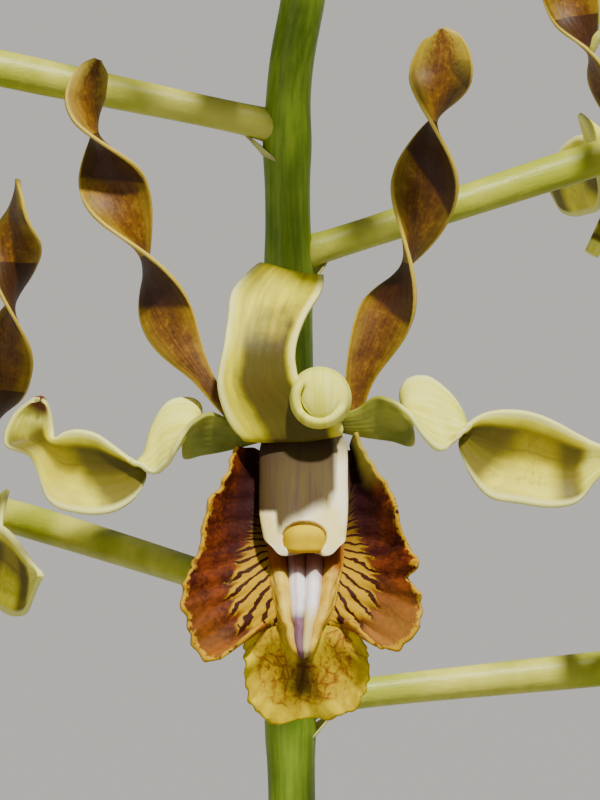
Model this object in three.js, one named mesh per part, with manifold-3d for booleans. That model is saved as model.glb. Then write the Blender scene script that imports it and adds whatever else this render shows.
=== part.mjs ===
// Potted antelope orchid, in millimetres, +Z up, pot foot on the floor at the origin.
import * as THREE from 'three';
import { mergeVertices } from 'three/addons/utils/BufferGeometryUtils.js';
import Module from 'manifold-3d';

const wasm = await Module();
wasm.setup();

// Blades and clearances
const BLADE = 0.7;
const LEAF_THICK = 1.1;
const GAP = 0.35;

// Pot
const POT_HEIGHT = 108;
const FOOT_RADIUS = 42;
const RIM_RADIUS = 62;
const RIM_HEIGHT = 18;
const WALL = 4.5;
const POT_FLOOR = 7;
const DRAIN_RADIUS = 5;
const DRAIN_OFFSET = 22;
const DRAINS = 4;

// Bark
const BARK_TOP = 92;
const CHIPS = 15;
const CANE_DEPTH = 40;

// Flower stem
const STEM_RADIUS = 1.7;
const STALK_RADIUS = 1.05;
const OVARY_RADIUS = 1.35;

// The bloom that faces the camera: where its centre is and which way it looks
const MAIN_CENTRE = [0, -22, 520];
const MAIN_AZIMUTH = 270;
const MAIN_PITCH = 8;

// Rows of the bloom blades, in the bloom's own frame: sideways, up, forward, width, turn in degrees.
const PETAL_LEFT = [
  [-3.8, -0.6, -0.7, 0.9, 10],
  [-5.1, 0.9, -0.9, 0.9, 10],
  [-7.1, 3.6, -1.2, 1.6, 10],
  [-9.3, 7.1, -1.5, 3.8, -5],
  [-11.2, 12.1, -1.7, 4.3, -90],
  [-13.3, 16.8, -1.8, 4.8, -178],
  [-14.6, 20.5, -1.7, 4.3, -262],
  [-15.3, 23.2, -1.5, 3.8, -315],
  [-14.8, 25.3, -1.5, 2.3, -335],
  [-14.5, 26.2, -1.5, 0.4, -345],
];
const PETAL_RIGHT = [
  [3.95, -0.6, -0.7, 0.9, 10],
  [3.9, 0.6, -0.9, 0.9, 10],
  [4.4, 3.8, -1.2, 2.3, 10],
  [5.9, 7.4, -1.5, 4.0, -10],
  [7.6, 11.6, -1.7, 4.3, -90],
  [8.9, 16.8, -1.8, 4.9, -175],
  [9.5, 21.4, -1.7, 4.2, -262],
  [10.1, 25.0, -1.5, 4.6, -350],
  [10.3, 27.4, -1.5, 3.2, -372],
  [10.2, 28.4, -1.5, 0.4, -380],
];
// The lateral sepals fold over themselves, so their rows give one margin and then the other:
// sideways, up and forward of each.
const SEPAL_LEFT = [
  [-2.5, 0, 0.5, -2.5, -1.07, 0],
  [-4.84, 0.36, 1.2, -5.14, -1.78, 0.3],
  [-6.4, 0.92, 2, -7, -2.14, 0.2],
  [-7.59, 0.28, 2.6, -8.29, -2.36, -0.4],
  [-8.44, -0.78, 2.9, -7.89, -0.79, -1.6],
  [-8.94, -1.84, 2.7, -7.11, 1.01, -2.2],
  [-9.31, -2.56, 2.2, -7.76, 1.87, -2.2],
  [-9.75, -3.06, 1.6, -9.4, 1.65, -2],
  [-10.19, -3.42, 1.1, -10.54, 0.07, -1.4],
  [-10.69, -3.42, 0.9, -10.81, -1.57, -0.9],
  [-11.26, -2.99, 0.9, -11.17, -2.79, -0.9],
  [-12.26, -2.28, 0.8, -11, -3.93, 0],
  [-13.4, -1.43, 0.8, -11.84, -5.28, 0.5],
  [-14.61, -0.64, 0.8, -13.48, -6.2, 0.7],
  [-15.83, -0.36, 0.7, -15.69, -6.28, 0.6],
  [-16.84, -0.5, 0.4, -17.99, -5.42, 0.3],
  [-17.57, -0.86, 0, -19.3, -2.36, -0.2],
  [-17.66, -0.29, -0.3, -21.18, -1.36, -0.7],
  [-17.79, 0.71, -0.2, -20.67, 0.5, -0.6],
  [-18.07, 1.5, 0, -19.37, 1.64, -0.2],
  [-18.42, 1.86, 0.1, -18.57, 1.86, 0.1],
];
const SEPAL_RIGHT = [
  [2.5, 0.64, 0.5, 2.5, -0.43, 0],
  [4.06, 1.14, 1.2, 4.57, -0.86, 0.2],
  [5.33, 1.99, 1.9, 6.57, -1.14, 0],
  [6.6, 1.7, 2.6, 8.01, -1.43, -0.4],
  [7.66, 0.92, 2.9, 7.89, 0, -1.7],
  [8.37, -0.14, 2.8, 7.25, 2.01, -2.2],
  [9.02, -1.14, 2.4, 7.76, 3.23, -2.2],
  [9.67, -1.78, 1.8, 9.19, 3.45, -2],
  [10.33, -1.78, 1.2, 10.54, 2.44, -1.4],
  [10.9, -1.28, 0.9, 11.45, 1, -0.9],
  [11.47, -0.57, 0.9, 11.67, -0.36, -0.9],
  [12.12, 0.21, 0.8, 11.36, -1.64, 0],
  [13.26, 0.86, 0.8, 12.13, -3.57, 0.5],
  [14.83, 1.07, 0.8, 13.55, -5.13, 0.7],
  [16.54, 0.86, 0.8, 15.69, -5.56, 0.7],
  [18.26, 0.21, 0.6, 17.98, -5.85, 0.5],
  [19.84, -0.64, 0.4, 19.85, -5.5, 0.2],
  [21.2, -1.29, 0.2, 21.14, -4.07, 0],
  [22.36, -1.71, 0, 22.36, -2.93, 0],
  [23.14, -2.14, 0, 23.21, -2.29, 0],
];
const SEPAL_TOP = [
  [-0.4, -1.2, 2.2, 7.4, 0],
  [-1.3, 0.6, 2.5, 7.9, 0],
  [-2.8, 2.7, 2.7, 6.1, 0],
  [-3.0, 4.2, 2.6, 5.4, 0],
  [-2.85, 5.6, 2.3, 5.1, 0],
  [-2.4, 7.5, 1.3, 5.5, 0],
  [-1.7, 9.4, -0.1, 6.2, -4],
  [-0.7, 10.9, -1.8, 4.8, -12],
  [-0.4, 10.4, -3.4, 3.0, -14],
  [-0.4, 9.3, -4.3, 0.5, -14],
];
const SCROLL = { centre: [1.4, 1.9, 3.9], radius: 2.1, depth: 0.9 };

// Rays of the lip from its middle band to its edge, left to right: root and edge, both sideways, up, forward.
const LIP_RAYS = [
  [-2.9, -2.4, -0.2, -5.1, -2.7, 2.2],
  [-2.8, -3.8, 0.0, -5.6, -4.2, 3.6],
  [-2.6, -5.9, 0.6, -6.6, -6.2, 4.6],
  [-2.4, -8.1, 1.5, -7.2, -8.8, 5.6],
  [-2.1, -10.1, 3.6, -8.2, -11.3, 6.4],
  [-1.9, -11.5, 4.6, -8.1, -13.9, 7.0],
  [-1.7, -12.5, 5.1, -6.8, -16.6, 7.4],
  [-1.6, -13.2, 5.4, -4.9, -15.8, 7.0],
  [-1.4, -13.8, 5.6, -2.8, -14.0, 6.0],
  [-1.1, -14.2, 5.7, -3.9, -15.1, 5.6],
  [-1.0, -14.9, 5.8, -4.0, -16.8, 5.2],
  [-0.7, -15.6, 5.9, -3.6, -19.4, 4.8],
  [-0.3, -16.1, 5.9, -2.0, -21.2, 4.5],
  [0.2, -16.2, 5.9, 0.2, -20.9, 4.3],
  [0.8, -16.1, 5.9, 2.7, -20.8, 4.5],
  [1.1, -15.6, 5.9, 4.5, -19.4, 4.8],
  [1.4, -14.9, 5.8, 4.9, -17.1, 5.2],
  [1.6, -14.2, 5.7, 4.6, -15.5, 5.6],
  [1.9, -13.8, 5.6, 3.8, -13.8, 6.0],
  [2.2, -13.2, 5.4, 5.0, -15.2, 6.8],
  [2.4, -12.5, 5.1, 6.9, -15.6, 7.2],
  [2.6, -11.5, 4.6, 8.6, -12.9, 7.0],
  [2.9, -10.1, 3.6, 8.1, -10.4, 6.4],
  [3.1, -8.1, 1.5, 7.7, -8.6, 5.8],
  [3.4, -5.9, 0.6, 6.6, -5.8, 4.6],
  [3.7, -3.8, 0.0, 5.4, -3.5, 3.6],
  [3.9, -2.4, -0.2, 4.5, -1.6, 2.4],
];

// Sections of the column from its root to its tip: up, forward, half width, half thickness.
const COLUMN_ROWS = [
  [-0.4, 0.5, 2.6, 0.8],
  [-1.6, 1.1, 3.1, 0.6],
  [-3.9, 2.0, 3.15, 0.8],
  [-6.1, 3.2, 3.15, 0.95],
  [-7.9, 4.3, 3.0, 0.95],
  [-9.0, 5.0, 2.5, 0.85],
  [-9.4, 5.3, 1.6, 0.5],
];
const COLUMN_MIDDLE = 0.25;
const HUB = { centre: [0.2, 0, -0.6], radii: [3.0, 1.45, 2.1] };
const SPUR = { from: [0.2, -0.9, -1.6], to: [0.2, -6.8, -6.6], wide: 1.15, narrow: 0.6 };
const ANTHER = { centre: [0.3, -8.1, 5.0], radii: [1.5, 1.05, 1.1] };
const OVARY_END = [0.2, 0.5, -2.75 - GAP];

// The other blooms: stalk height on the stem, centre, azimuth, pitch, roll and size.
const OTHER_BLOOMS = [
  { node: 448, centre: [-29, 5, 453], azimuth: 172, pitch: 2, roll: 5, size: 1 },
  { node: 459, centre: [30, -5, 463], azimuth: 351, pitch: 2, roll: -5, size: 1 },
  { node: 479, centre: [-31, -8, 484], azimuth: 194, pitch: 3, roll: 5, size: 0.98 },
  { node: 495.5, centre: [30, 2, 498], azimuth: 2, pitch: 6, roll: -6, size: 0.97 },
  { node: 503, centre: [-28, 20, 506], azimuth: 202, pitch: 4, roll: 4, size: 0.97 },
  { node: 530, centre: [27, 7, 536.5], azimuth: 22, pitch: 8, roll: -3, size: 0.95 },
  { node: 539.5, centre: [-28, -6, 544.5], azimuth: 186, pitch: 8, roll: 3, size: 0.95 },
  { node: 553, centre: [-4, 25, 566], azimuth: 96, pitch: 10, roll: -5, size: 0.92 },
  { node: 562, centre: [6, -25, 573], azimuth: 280, pitch: 12, roll: 5, size: 0.9 },
];
const BUDS = [
  { node: 574, azimuth: 200, length: 15, size: 6.5 },
  { node: 582, azimuth: 340, length: 13, size: 5.8 },
  { node: 590, azimuth: 120, length: 11, size: 5.0 },
  { node: 597, azimuth: 250, length: 9, size: 4.2 },
  { node: 603, azimuth: 30, length: 7, size: 3.4 },
];
const STEM_PATH = [
  [4.1, 8.3, 338, 1.9],
  [4, 8, 350, 1.9],
  [3.9, 6.8, 380, 2.0],
  [2.6, 3.0, 410, 1.95],
  [0.4, -2.6, 445, 1.85],
  [-0.2, -3.8, 470, 1.8],
  [-0.9, -4.0, 505, 1.75],
  [-0.7, -4.0, 520, 1.7],
  [-0.9, -4.0, 541, 1.65],
  [0.2, -3.8, 562, 1.5],
  [-0.3, -4.0, 585, 1.2],
  [0.4, -4.2, 606, 0.8],
];

// Canes: foot, top, greatest radius, azimuth of the first leaf, where the leaves start, their number,
// the size of the leaves and how steeply they rise.
const CANES = [
  {
    name: 'leafy_cane_flowering',
    foot: [7, 16],
    top: [4, 8, 348],
    radius: 6.2,
    azimuth: 40,
    from: 0.68,
    leaves: 5,
    leafSize: 0.95,
    lift: 62,
  },
  {
    name: 'leafy_cane_left',
    foot: [-26, 4],
    top: [-54, 4, 310],
    radius: 5.8,
    azimuth: 94,
    from: 0.36,
    leaves: 7,
    leafSize: 1,
    lift: 60,
  },
  {
    name: 'leafy_cane_right',
    foot: [30, 2],
    top: [60, -4, 290],
    radius: 5.6,
    azimuth: 84,
    from: 0.36,
    leaves: 7,
    leafSize: 0.97,
    lift: 60,
  },
  {
    name: 'leafy_cane_front',
    foot: [2, -24],
    top: [-2, -50, 232],
    radius: 5.4,
    azimuth: 186,
    from: 0.4,
    leaves: 6,
    leafSize: 0.74,
    lift: 72,
  },
  {
    name: 'leafy_cane_back',
    foot: [-6, 34],
    top: [-14, 66, 270],
    radius: 5.4,
    azimuth: 168,
    from: 0.4,
    leaves: 6,
    leafSize: 1,
    lift: 60,
  },
];
const LEAF_LENGTH = 92;
const LEAF_WIDTH = 29;

const plant = new THREE.Group();
plant.name = 'potted_orchid';

function seededNumbers(seed) {
  let state = seed;
  return () => {
    state = (state * 1664525 + 1013904223) % 4294967296;
    return state / 4294967296;
  };
}

function addPart(name, geometry, color, roughness, metalness = 0) {
  const material = new THREE.MeshStandardMaterial({ color, roughness, metalness });
  const mesh = new THREE.Mesh(geometry, material);
  mesh.name = name;
  plant.add(mesh);
}

function vec(row) {
  return new THREE.Vector3(row[0], row[1], row[2]);
}

// A smooth curve through rows of any length.
function along(rows, t) {
  const last = rows.length - 1;
  const x = Math.min(Math.max(t, 0), 1) * last;
  const i = Math.min(Math.floor(x), last - 1);
  const f = x - i;
  const b = rows[i];
  const c = rows[i + 1];
  const a = i > 0 ? rows[i - 1] : b.map((value, k) => 2 * value - c[k]);
  const d = i + 2 <= last ? rows[i + 2] : c.map((value, k) => 2 * value - b[k]);
  return b.map((value, k) => {
    const one = (c[k] - a[k]) / 2;
    const two = a[k] - 2.5 * value + 2 * c[k] - 0.5 * d[k];
    const three = 1.5 * (value - c[k]) + (d[k] - a[k]) / 2;
    return value + f * (one + f * (two + f * three));
  });
}

function tangentAt(rows, t) {
  const before = vec(along(rows, Math.max(t - 0.01, 0)));
  const after = vec(along(rows, Math.min(t + 0.01, 1)));
  return after.sub(before).normalize();
}

// Triangles between the rows of a grid of points.
function gridTriangles(grid) {
  const points = [];
  for (let i = 0; i + 1 < grid.length; i += 1) {
    for (let j = 0; j + 1 < grid[i].length; j += 1) {
      const corner = grid[i][j];
      const next = grid[i + 1][j];
      const far = grid[i + 1][j + 1];
      const side = grid[i][j + 1];
      points.push(corner, next, far, corner, far, side);
    }
  }
  return points;
}

function geometryOf(points) {
  const geometry = new THREE.BufferGeometry().setFromPoints(points);
  return mergeVertices(geometry, 0.0005);
}

// Gives a sheet its thickness: both faces share one pattern of triangles.
function thicken(points, thickness) {
  const sheet = geometryOf(points);
  sheet.computeVertexNormals();
  const place = sheet.attributes.position;
  const normal = sheet.attributes.normal;
  const index = Array.from(sheet.index.array);
  const count = place.count;
  const positions = [];
  for (const side of [0.5, -0.5]) {
    for (let i = 0; i < count; i += 1) {
      const p = new THREE.Vector3().fromBufferAttribute(place, i);
      const n = new THREE.Vector3().fromBufferAttribute(normal, i);
      p.addScaledVector(n, side * thickness);
      positions.push(p.x, p.y, p.z);
    }
  }
  const faces = [];
  const edges = new Set();
  for (let i = 0; i < index.length; i += 3) {
    const [a, b, c] = index.slice(i, i + 3);
    if (a === b || b === c || c === a) {
      continue;
    }
    faces.push(a, b, c, c + count, b + count, a + count);
    for (const [from, to] of [[a, b], [b, c], [c, a]]) {
      edges.add(`${from},${to}`);
    }
  }
  for (const edge of edges) {
    const [from, to] = edge.split(',').map(Number);
    if (!edges.has(`${to},${from}`)) {
      faces.push(to, from, from + count, to, from + count, to + count);
    }
  }
  const solid = new THREE.BufferGeometry();
  solid.setAttribute('position', new THREE.Float32BufferAttribute(positions, 3));
  solid.setIndex(faces);
  return solid;
}

// A twisted blade. The turn is measured from the sideways direction towards the viewer.
function blade(rows, steps, across, cup, hand = 1, flat = false) {
  const grid = [];
  for (let i = 0; i <= steps; i += 1) {
    const t = i / steps;
    const row = along(rows, t);
    const tangent = tangentAt(rows, t);
    const front = new THREE.Vector3(0, 0, 1);
    const side = new THREE.Vector3(1, 0, 0);
    if (flat) {
      front.crossVectors(side, tangent).normalize();
    } else {
      front.addScaledVector(tangent, -tangent.z).normalize();
      side.crossVectors(front, tangent).multiplyScalar(hand);
    }
    const turn = THREE.MathUtils.degToRad(row[4]);
    const out = side.clone().multiplyScalar(Math.cos(turn)).addScaledVector(front, Math.sin(turn));
    const face = new THREE.Vector3().crossVectors(out, tangent).multiplyScalar(hand);
    const line = [];
    for (let j = 0; j <= across; j += 1) {
      const s = (2 * j) / across - 1;
      const lift = cup * row[3] * (s * s - 0.33);
      line.push(vec(row).addScaledVector(out, (s * row[3]) / 2).addScaledVector(face, lift));
    }
    grid.push(line);
  }
  return thicken(gridTriangles(grid), BLADE);
}

// A blade given by its two margins, hollowed towards the viewer from its neck on.
function foldedBlade(rows, steps, across, cup, hand) {
  const grid = [];
  for (let i = 0; i <= steps; i += 1) {
    const t = i / steps;
    const row = along(rows, t);
    const left = vec(row);
    const right = vec(row.slice(3));
    const before = along(rows, Math.max(t - 0.01, 0));
    const after = along(rows, Math.min(t + 0.01, 1));
    const onward = vec(after).add(vec(after.slice(3))).sub(vec(before)).sub(vec(before.slice(3)));
    const over = right.clone().sub(left);
    const width = over.length();
    const back = new THREE.Vector3().crossVectors(onward, over).normalize();
    const depth = cup * width * hand * THREE.MathUtils.smoothstep(t, 0.36, 0.52);
    const line = [];
    for (let j = 0; j <= across; j += 1) {
      const s = (2 * j) / across - 1;
      line.push(left.clone().addScaledVector(over, (s + 1) / 2).addScaledVector(back, depth * (1 - s * s)));
    }
    grid.push(line);
  }
  return thicken(gridTriangles(grid), BLADE);
}

// A body through closed rings of points, with flat ends.
function loft(rings) {
  const points = [];
  const sides = rings[0].length;
  for (let i = 0; i + 1 < rings.length; i += 1) {
    for (let j = 0; j < sides; j += 1) {
      const k = (j + 1) % sides;
      const a = rings[i][j];
      const b = rings[i][k];
      const c = rings[i + 1][k];
      const d = rings[i + 1][j];
      points.push(a, b, c, a, c, d);
    }
  }
  for (const [ring, turned] of [[rings[0], true], [rings[rings.length - 1], false]]) {
    for (let j = 1; j + 1 < sides; j += 1) {
      const corner = [ring[0], ring[j], ring[j + 1]];
      points.push(...(turned ? corner.reverse() : corner));
    }
  }
  return geometryOf(points);
}

function rod(rows, sides) {
  const rings = rows.map((row, i) => {
    const t = i / (rows.length - 1);
    const tangent = tangentAt(rows, t);
    const start = Math.abs(tangent.z) > 0.9 ? new THREE.Vector3(1, 0, 0) : new THREE.Vector3(0, 0, 1);
    const one = start.addScaledVector(tangent, -start.dot(tangent)).normalize();
    const two = new THREE.Vector3().crossVectors(tangent, one);
    const ring = [];
    for (let j = 0; j < sides; j += 1) {
      const angle = (2 * Math.PI * j) / sides;
      const point = vec(row).addScaledVector(one, row[3] * Math.cos(angle));
      ring.push(point.addScaledVector(two, row[3] * Math.sin(angle)));
    }
    return ring;
  });
  return loft(rings);
}

function ball(centre, radii, around = 12, high = 8) {
  const geometry = new THREE.SphereGeometry(1, around, high);
  geometry.scale(...radii);
  geometry.translate(...centre);
  return geometry;
}

// Turns a closed geometry into a body that can be joined and cut, and back again.
function body(geometry) {
  const clean = geometry.clone();
  clean.deleteAttribute('normal');
  clean.deleteAttribute('uv');
  const merged = mergeVertices(clean, 0.0005);
  const index = Array.from(merged.index.array);
  const triangles = [];
  for (let i = 0; i < index.length; i += 3) {
    const [a, b, c] = index.slice(i, i + 3);
    if (a !== b && b !== c && c !== a) {
      triangles.push(a, b, c);
    }
  }
  const mesh = new wasm.Mesh({
    numProp: 3,
    vertProperties: Float32Array.from(merged.attributes.position.array),
    triVerts: Uint32Array.from(triangles),
  });
  return new wasm.Manifold(mesh);
}

function geometryFrom(solid, tolerance = 0.04) {
  const mesh = solid.simplify(tolerance).getMesh();
  const geometry = new THREE.BufferGeometry();
  geometry.setAttribute('position', new THREE.BufferAttribute(Float32Array.from(mesh.vertProperties), 3));
  geometry.setIndex(new THREE.BufferAttribute(Uint32Array.from(mesh.triVerts), 1));
  return geometry;
}

function joined(geometries) {
  return wasm.Manifold.union(geometries.map(body));
}

// The frame of a bloom: sideways, up and forward, looking outwards at its azimuth.
function bloomFrame({ centre, azimuth, pitch = 0, roll = 0, size = 1 }) {
  const a = THREE.MathUtils.degToRad(azimuth);
  const p = THREE.MathUtils.degToRad(pitch);
  const forward = new THREE.Vector3(Math.cos(a) * Math.cos(p), Math.sin(a) * Math.cos(p), Math.sin(p));
  const sideways = new THREE.Vector3(-Math.sin(a), Math.cos(a), 0);
  const up = new THREE.Vector3().crossVectors(forward, sideways);
  const turned = new THREE.Matrix4().makeRotationZ(THREE.MathUtils.degToRad(roll));
  const frame = new THREE.Matrix4().makeBasis(sideways, up, forward);
  return frame.multiply(turned).scale(new THREE.Vector3(size, size, size)).setPosition(...centre);
}

// The lip: a middle band with three keels, and rays out to the edge of its three lobes.
function lipSheet(rays, out, band) {
  const grid = rays.map((ray) => {
    const line = [];
    for (let j = 0; j <= out; j += 1) {
      const t = j / out;
      const p = new THREE.Vector3().lerpVectors(vec(ray), vec(ray.slice(3)), t);
      p.z -= 0.7 * Math.sin(Math.PI * t);
      line.push(p);
    }
    return line;
  });
  const points = gridTriangles(grid);
  const half = (rays.length - 1) / 2;
  const rows = [];
  for (let i = 0; i < half; i += 1) {
    const left = vec(rays[i]);
    const right = vec(rays[rays.length - 1 - i]);
    const keel = 0.9 * Math.sin(Math.min(1, i / 6) * 0.5 * Math.PI);
    const line = [];
    for (let j = 0; j <= band; j += 1) {
      const s = j / band;
      const p = new THREE.Vector3().lerpVectors(left, right, s);
      p.z += j % 2 ? keel : 0;
      line.push(p);
    }
    rows.push(line);
  }
  for (const line of rows) {
    line.reverse();
  }
  points.push(...gridTriangles(rows));
  const end = rows[half - 1];
  const tip = vec(rays[half]);
  for (let j = 0; j + 1 < end.length; j += 1) {
    points.push(end[j], tip, end[j + 1]);
  }
  return thicken(points, BLADE);
}

function scroll() {
  const grid = [];
  for (let i = 0; i <= 3; i += 1) {
    const angle = (i / 3) * 1.25;
    const line = [];
    for (let j = 0; j <= 12; j += 1) {
      const round = (j / 12) * 2 * Math.PI;
      const r = SCROLL.radius * Math.sin(angle) / Math.sin(1.25);
      const deep = SCROLL.depth * Math.cos(angle);
      const x = SCROLL.centre[0] + r * Math.cos(round);
      const y = SCROLL.centre[1] + r * Math.sin(round);
      line.push(new THREE.Vector3(x, y, SCROLL.centre[2] - deep));
    }
    grid.push(line);
  }
  return thicken(gridTriangles(grid), BLADE);
}

function columnBody(sides, every, sphere) {
  const rings = COLUMN_ROWS.filter((row, i) => i % every === 0).map(([up, forward, wide, thick]) => {
    const ring = [];
    for (let j = 0; j < sides; j += 1) {
      const angle = (2 * Math.PI * j) / sides;
      const bow = thick * Math.sin(angle);
      const x = COLUMN_MIDDLE + wide * Math.cos(angle);
      ring.push(new THREE.Vector3(x, up, forward + bow));
    }
    return ring;
  });
  const { from, to, wide, narrow } = SPUR;
  const spur = rod([[...from, wide], [...to, narrow]], sides > 8 ? 8 : 5);
  return joined([loft(rings), ball(HUB.centre, HUB.radii, ...sphere), spur]);
}

function seat() {
  const radii = HUB.radii.map((radius) => radius + GAP);
  return body(ball(HUB.centre, radii, 16, 12));
}

function cutAtHub(geometry) {
  const parts = body(geometry).subtract(seat()).decompose();
  return parts.sort((a, b) => b.volume() - a.volume())[0];
}

function placed(solid, frame, tolerance) {
  return geometryFrom(solid.transform(frame.elements), tolerance);
}

function mainBloom() {
  const frame = bloomFrame({ centre: MAIN_CENTRE, azimuth: MAIN_AZIMUTH, pitch: MAIN_PITCH });
  const top = cutAtHub(blade(SEPAL_TOP, 16, 4, 0.06, 1, true)).add(body(scroll()));
  addPart('main_dorsal_sepal', placed(top, frame), '#dbd884', 0.5);
  const left = cutAtHub(foldedBlade(SEPAL_LEFT, 40, 4, 0.2, -1));
  addPart('main_lateral_sepal_left', placed(left, frame), '#d8d57f', 0.5);
  const right = cutAtHub(foldedBlade(SEPAL_RIGHT, 40, 4, 0.2, 1));
  addPart('main_lateral_sepal_right', placed(right, frame), '#d9d680', 0.5);
  const petalLeft = cutAtHub(blade(PETAL_LEFT, 30, 2, 0.08));
  addPart('main_petal_left', placed(petalLeft, frame), '#8c5520', 0.45);
  const petalRight = cutAtHub(blade(PETAL_RIGHT, 30, 2, 0.08));
  addPart('main_petal_right', placed(petalRight, frame), '#8e5722', 0.45);
  addPart('main_lip', placed(body(lipSheet(LIP_RAYS, 3, 6)), frame), '#b58a3a', 0.45);
  const socket = ANTHER.radii.map((radius) => radius + GAP);
  const column = columnBody(12, 1, [9, 6]).subtract(body(ball(ANTHER.centre, socket, 10, 6)));
  addPart('main_column', placed(column, frame), '#efece2', 0.4);
  const cap = body(ball(ANTHER.centre, ANTHER.radii, 10, 6));
  addPart('main_anther_cap', placed(cap, frame), '#e2c63e', 0.4);
}

function otherBloom(place, number) {
  const frame = bloomFrame(place);
  const name = `bloom_${number}`;
  const top = blade(SEPAL_TOP, 6, 1, 0, 1, true);
  const left = foldedBlade(SEPAL_LEFT, 18, 1, 0, -1);
  const right = foldedBlade(SEPAL_RIGHT, 18, 1, 0, 1);
  const heart = ball([0.2, 0, 0.4], [3.4, 1.5, 2.35], 6, 4);
  const sepals = joined([top, left, right, heart]).add(columnBody(6, 3, [6, 4]));
  addPart(`${name}_sepals`, placed(sepals, frame, 0.09), '#dad782', 0.5);
  const petalLeft = cutAtHub(blade(PETAL_LEFT, 11, 1, 0));
  addPart(`${name}_petal_left`, placed(petalLeft, frame), '#8c5520', 0.45);
  const petalRight = cutAtHub(blade(PETAL_RIGHT, 11, 1, 0));
  addPart(`${name}_petal_right`, placed(petalRight, frame), '#8e5722', 0.45);
  const rays = LIP_RAYS.filter((ray, i) => i % 2 === 0 || i === 13);
  addPart(`${name}_lip`, placed(body(lipSheet(rays, 1, 2)), frame), '#b58a3a', 0.45);
}

function stemPoint(z) {
  let low = 0;
  let high = 1;
  for (let i = 0; i < 30; i += 1) {
    const middle = (low + high) / 2;
    if (along(STEM_PATH, middle)[2] < z) {
      low = middle;
    } else {
      high = middle;
    }
  }
  return along(STEM_PATH, low);
}

// A flower stalk: out of the stem, along its ovary and up to the back of the bloom.
function stalk(place) {
  const frame = bloomFrame(place);
  const start = vec(stemPoint(place.node));
  const end = new THREE.Vector3(...OVARY_END).applyMatrix4(frame);
  const neck = new THREE.Vector3(OVARY_END[0], OVARY_END[1], OVARY_END[2] - 3).applyMatrix4(frame);
  const out = new THREE.Vector3(neck.x - start.x, neck.y - start.y, 0).normalize();
  const knee = start.clone().addScaledVector(out, 5);
  knee.z += 1.2;
  const path = [
    [start.x, start.y, start.z, STALK_RADIUS * 1.35],
    [knee.x, knee.y, knee.z, STALK_RADIUS * 1.1],
    [neck.x, neck.y, neck.z, OVARY_RADIUS],
    [end.x, end.y, end.z, OVARY_RADIUS * 0.75],
  ];
  const rows = [];
  for (let i = 0; i <= 6; i += 1) {
    rows.push(along(path, i / 6));
  }
  return rod(rows, 5);
}

function bud({ node, azimuth, length, size }) {
  const a = THREE.MathUtils.degToRad(azimuth);
  const start = stemPoint(node);
  const tip = [start[0] + length * Math.cos(a), start[1] + length * Math.sin(a), start[2] + length * 0.45];
  const stem = rod([[start[0], start[1], start[2], 0.8], [...tip, 0.9]], 4);
  const geometry = ball([0, 0, 0], [size * 0.42, size * 0.42, size], 6, 4);
  geometry.rotateX(-0.5);
  geometry.rotateZ(a - Math.PI / 2);
  geometry.translate(tip[0], tip[1], tip[2] + size * 0.6);
  return [stem, geometry];
}

function flowerStem() {
  const rows = [];
  for (let i = 0; i <= 20; i += 1) {
    rows.push(along(STEM_PATH, i / 20));
  }
  const main = { node: 516.5, centre: MAIN_CENTRE, azimuth: MAIN_AZIMUTH, pitch: MAIN_PITCH };
  const stalks = [main, ...OTHER_BLOOMS].map(stalk);
  const solid = joined([rod(rows, 7), ...stalks, ...BUDS.flatMap(bud)]);
  addPart('flower_stem', geometryFrom(solid, 0.1), '#5f7a1e', 0.5);
}

function caneRow({ foot, top, radius }, t, extra = 0) {
  const bottom = BARK_TOP - CANE_DEPTH;
  const lean = t ** 1.6;
  const x = foot[0] + (top[0] - foot[0]) * lean;
  const y = foot[1] + (top[1] - foot[1]) * lean;
  const z = bottom + (top[2] - bottom) * t;
  return [x, y, z, radius * (0.66 + 0.34 * Math.sin(Math.PI * Math.min(1, t * 1.05))) + extra];
}

function caneRod(cane, extra, end, rings, sides) {
  const rows = [];
  for (let i = 0; i <= rings; i += 1) {
    rows.push(caneRow(cane, (end * i) / rings, extra));
  }
  rows[0][2] -= extra;
  return rod(rows, sides);
}

// A leaf: folded along its midrib, rising out of the cane and arching over.
function leaf(start, azimuth, length, width, lift, droop) {
  const a = THREE.MathUtils.degToRad(azimuth);
  const out = new THREE.Vector3(Math.cos(a), Math.sin(a), 0);
  const side = new THREE.Vector3(-Math.sin(a), Math.cos(a), 0);
  const centre = vec(start);
  const grid = [];
  const steps = 4;
  for (let i = 0; i <= steps; i += 1) {
    const t = i / steps;
    const slope = THREE.MathUtils.degToRad(lift - droop * t);
    const wide = Math.max(1.4, width * Math.sin(Math.PI * (0.1 + 0.9 * t) ** 0.85));
    const fold = 0.13 * wide;
    const up = out.clone().multiplyScalar(-Math.sin(slope));
    up.z += Math.cos(slope);
    const left = centre.clone().addScaledVector(side, wide / 2).addScaledVector(up, fold);
    const right = centre.clone().addScaledVector(side, -wide / 2).addScaledVector(up, fold);
    grid.push([left, centre.clone(), right]);
    centre.addScaledVector(out, (Math.cos(slope) * length) / steps);
    centre.z += (Math.sin(slope) * length) / steps;
  }
  return thicken(gridTriangles(grid), LEAF_THICK);
}

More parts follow.
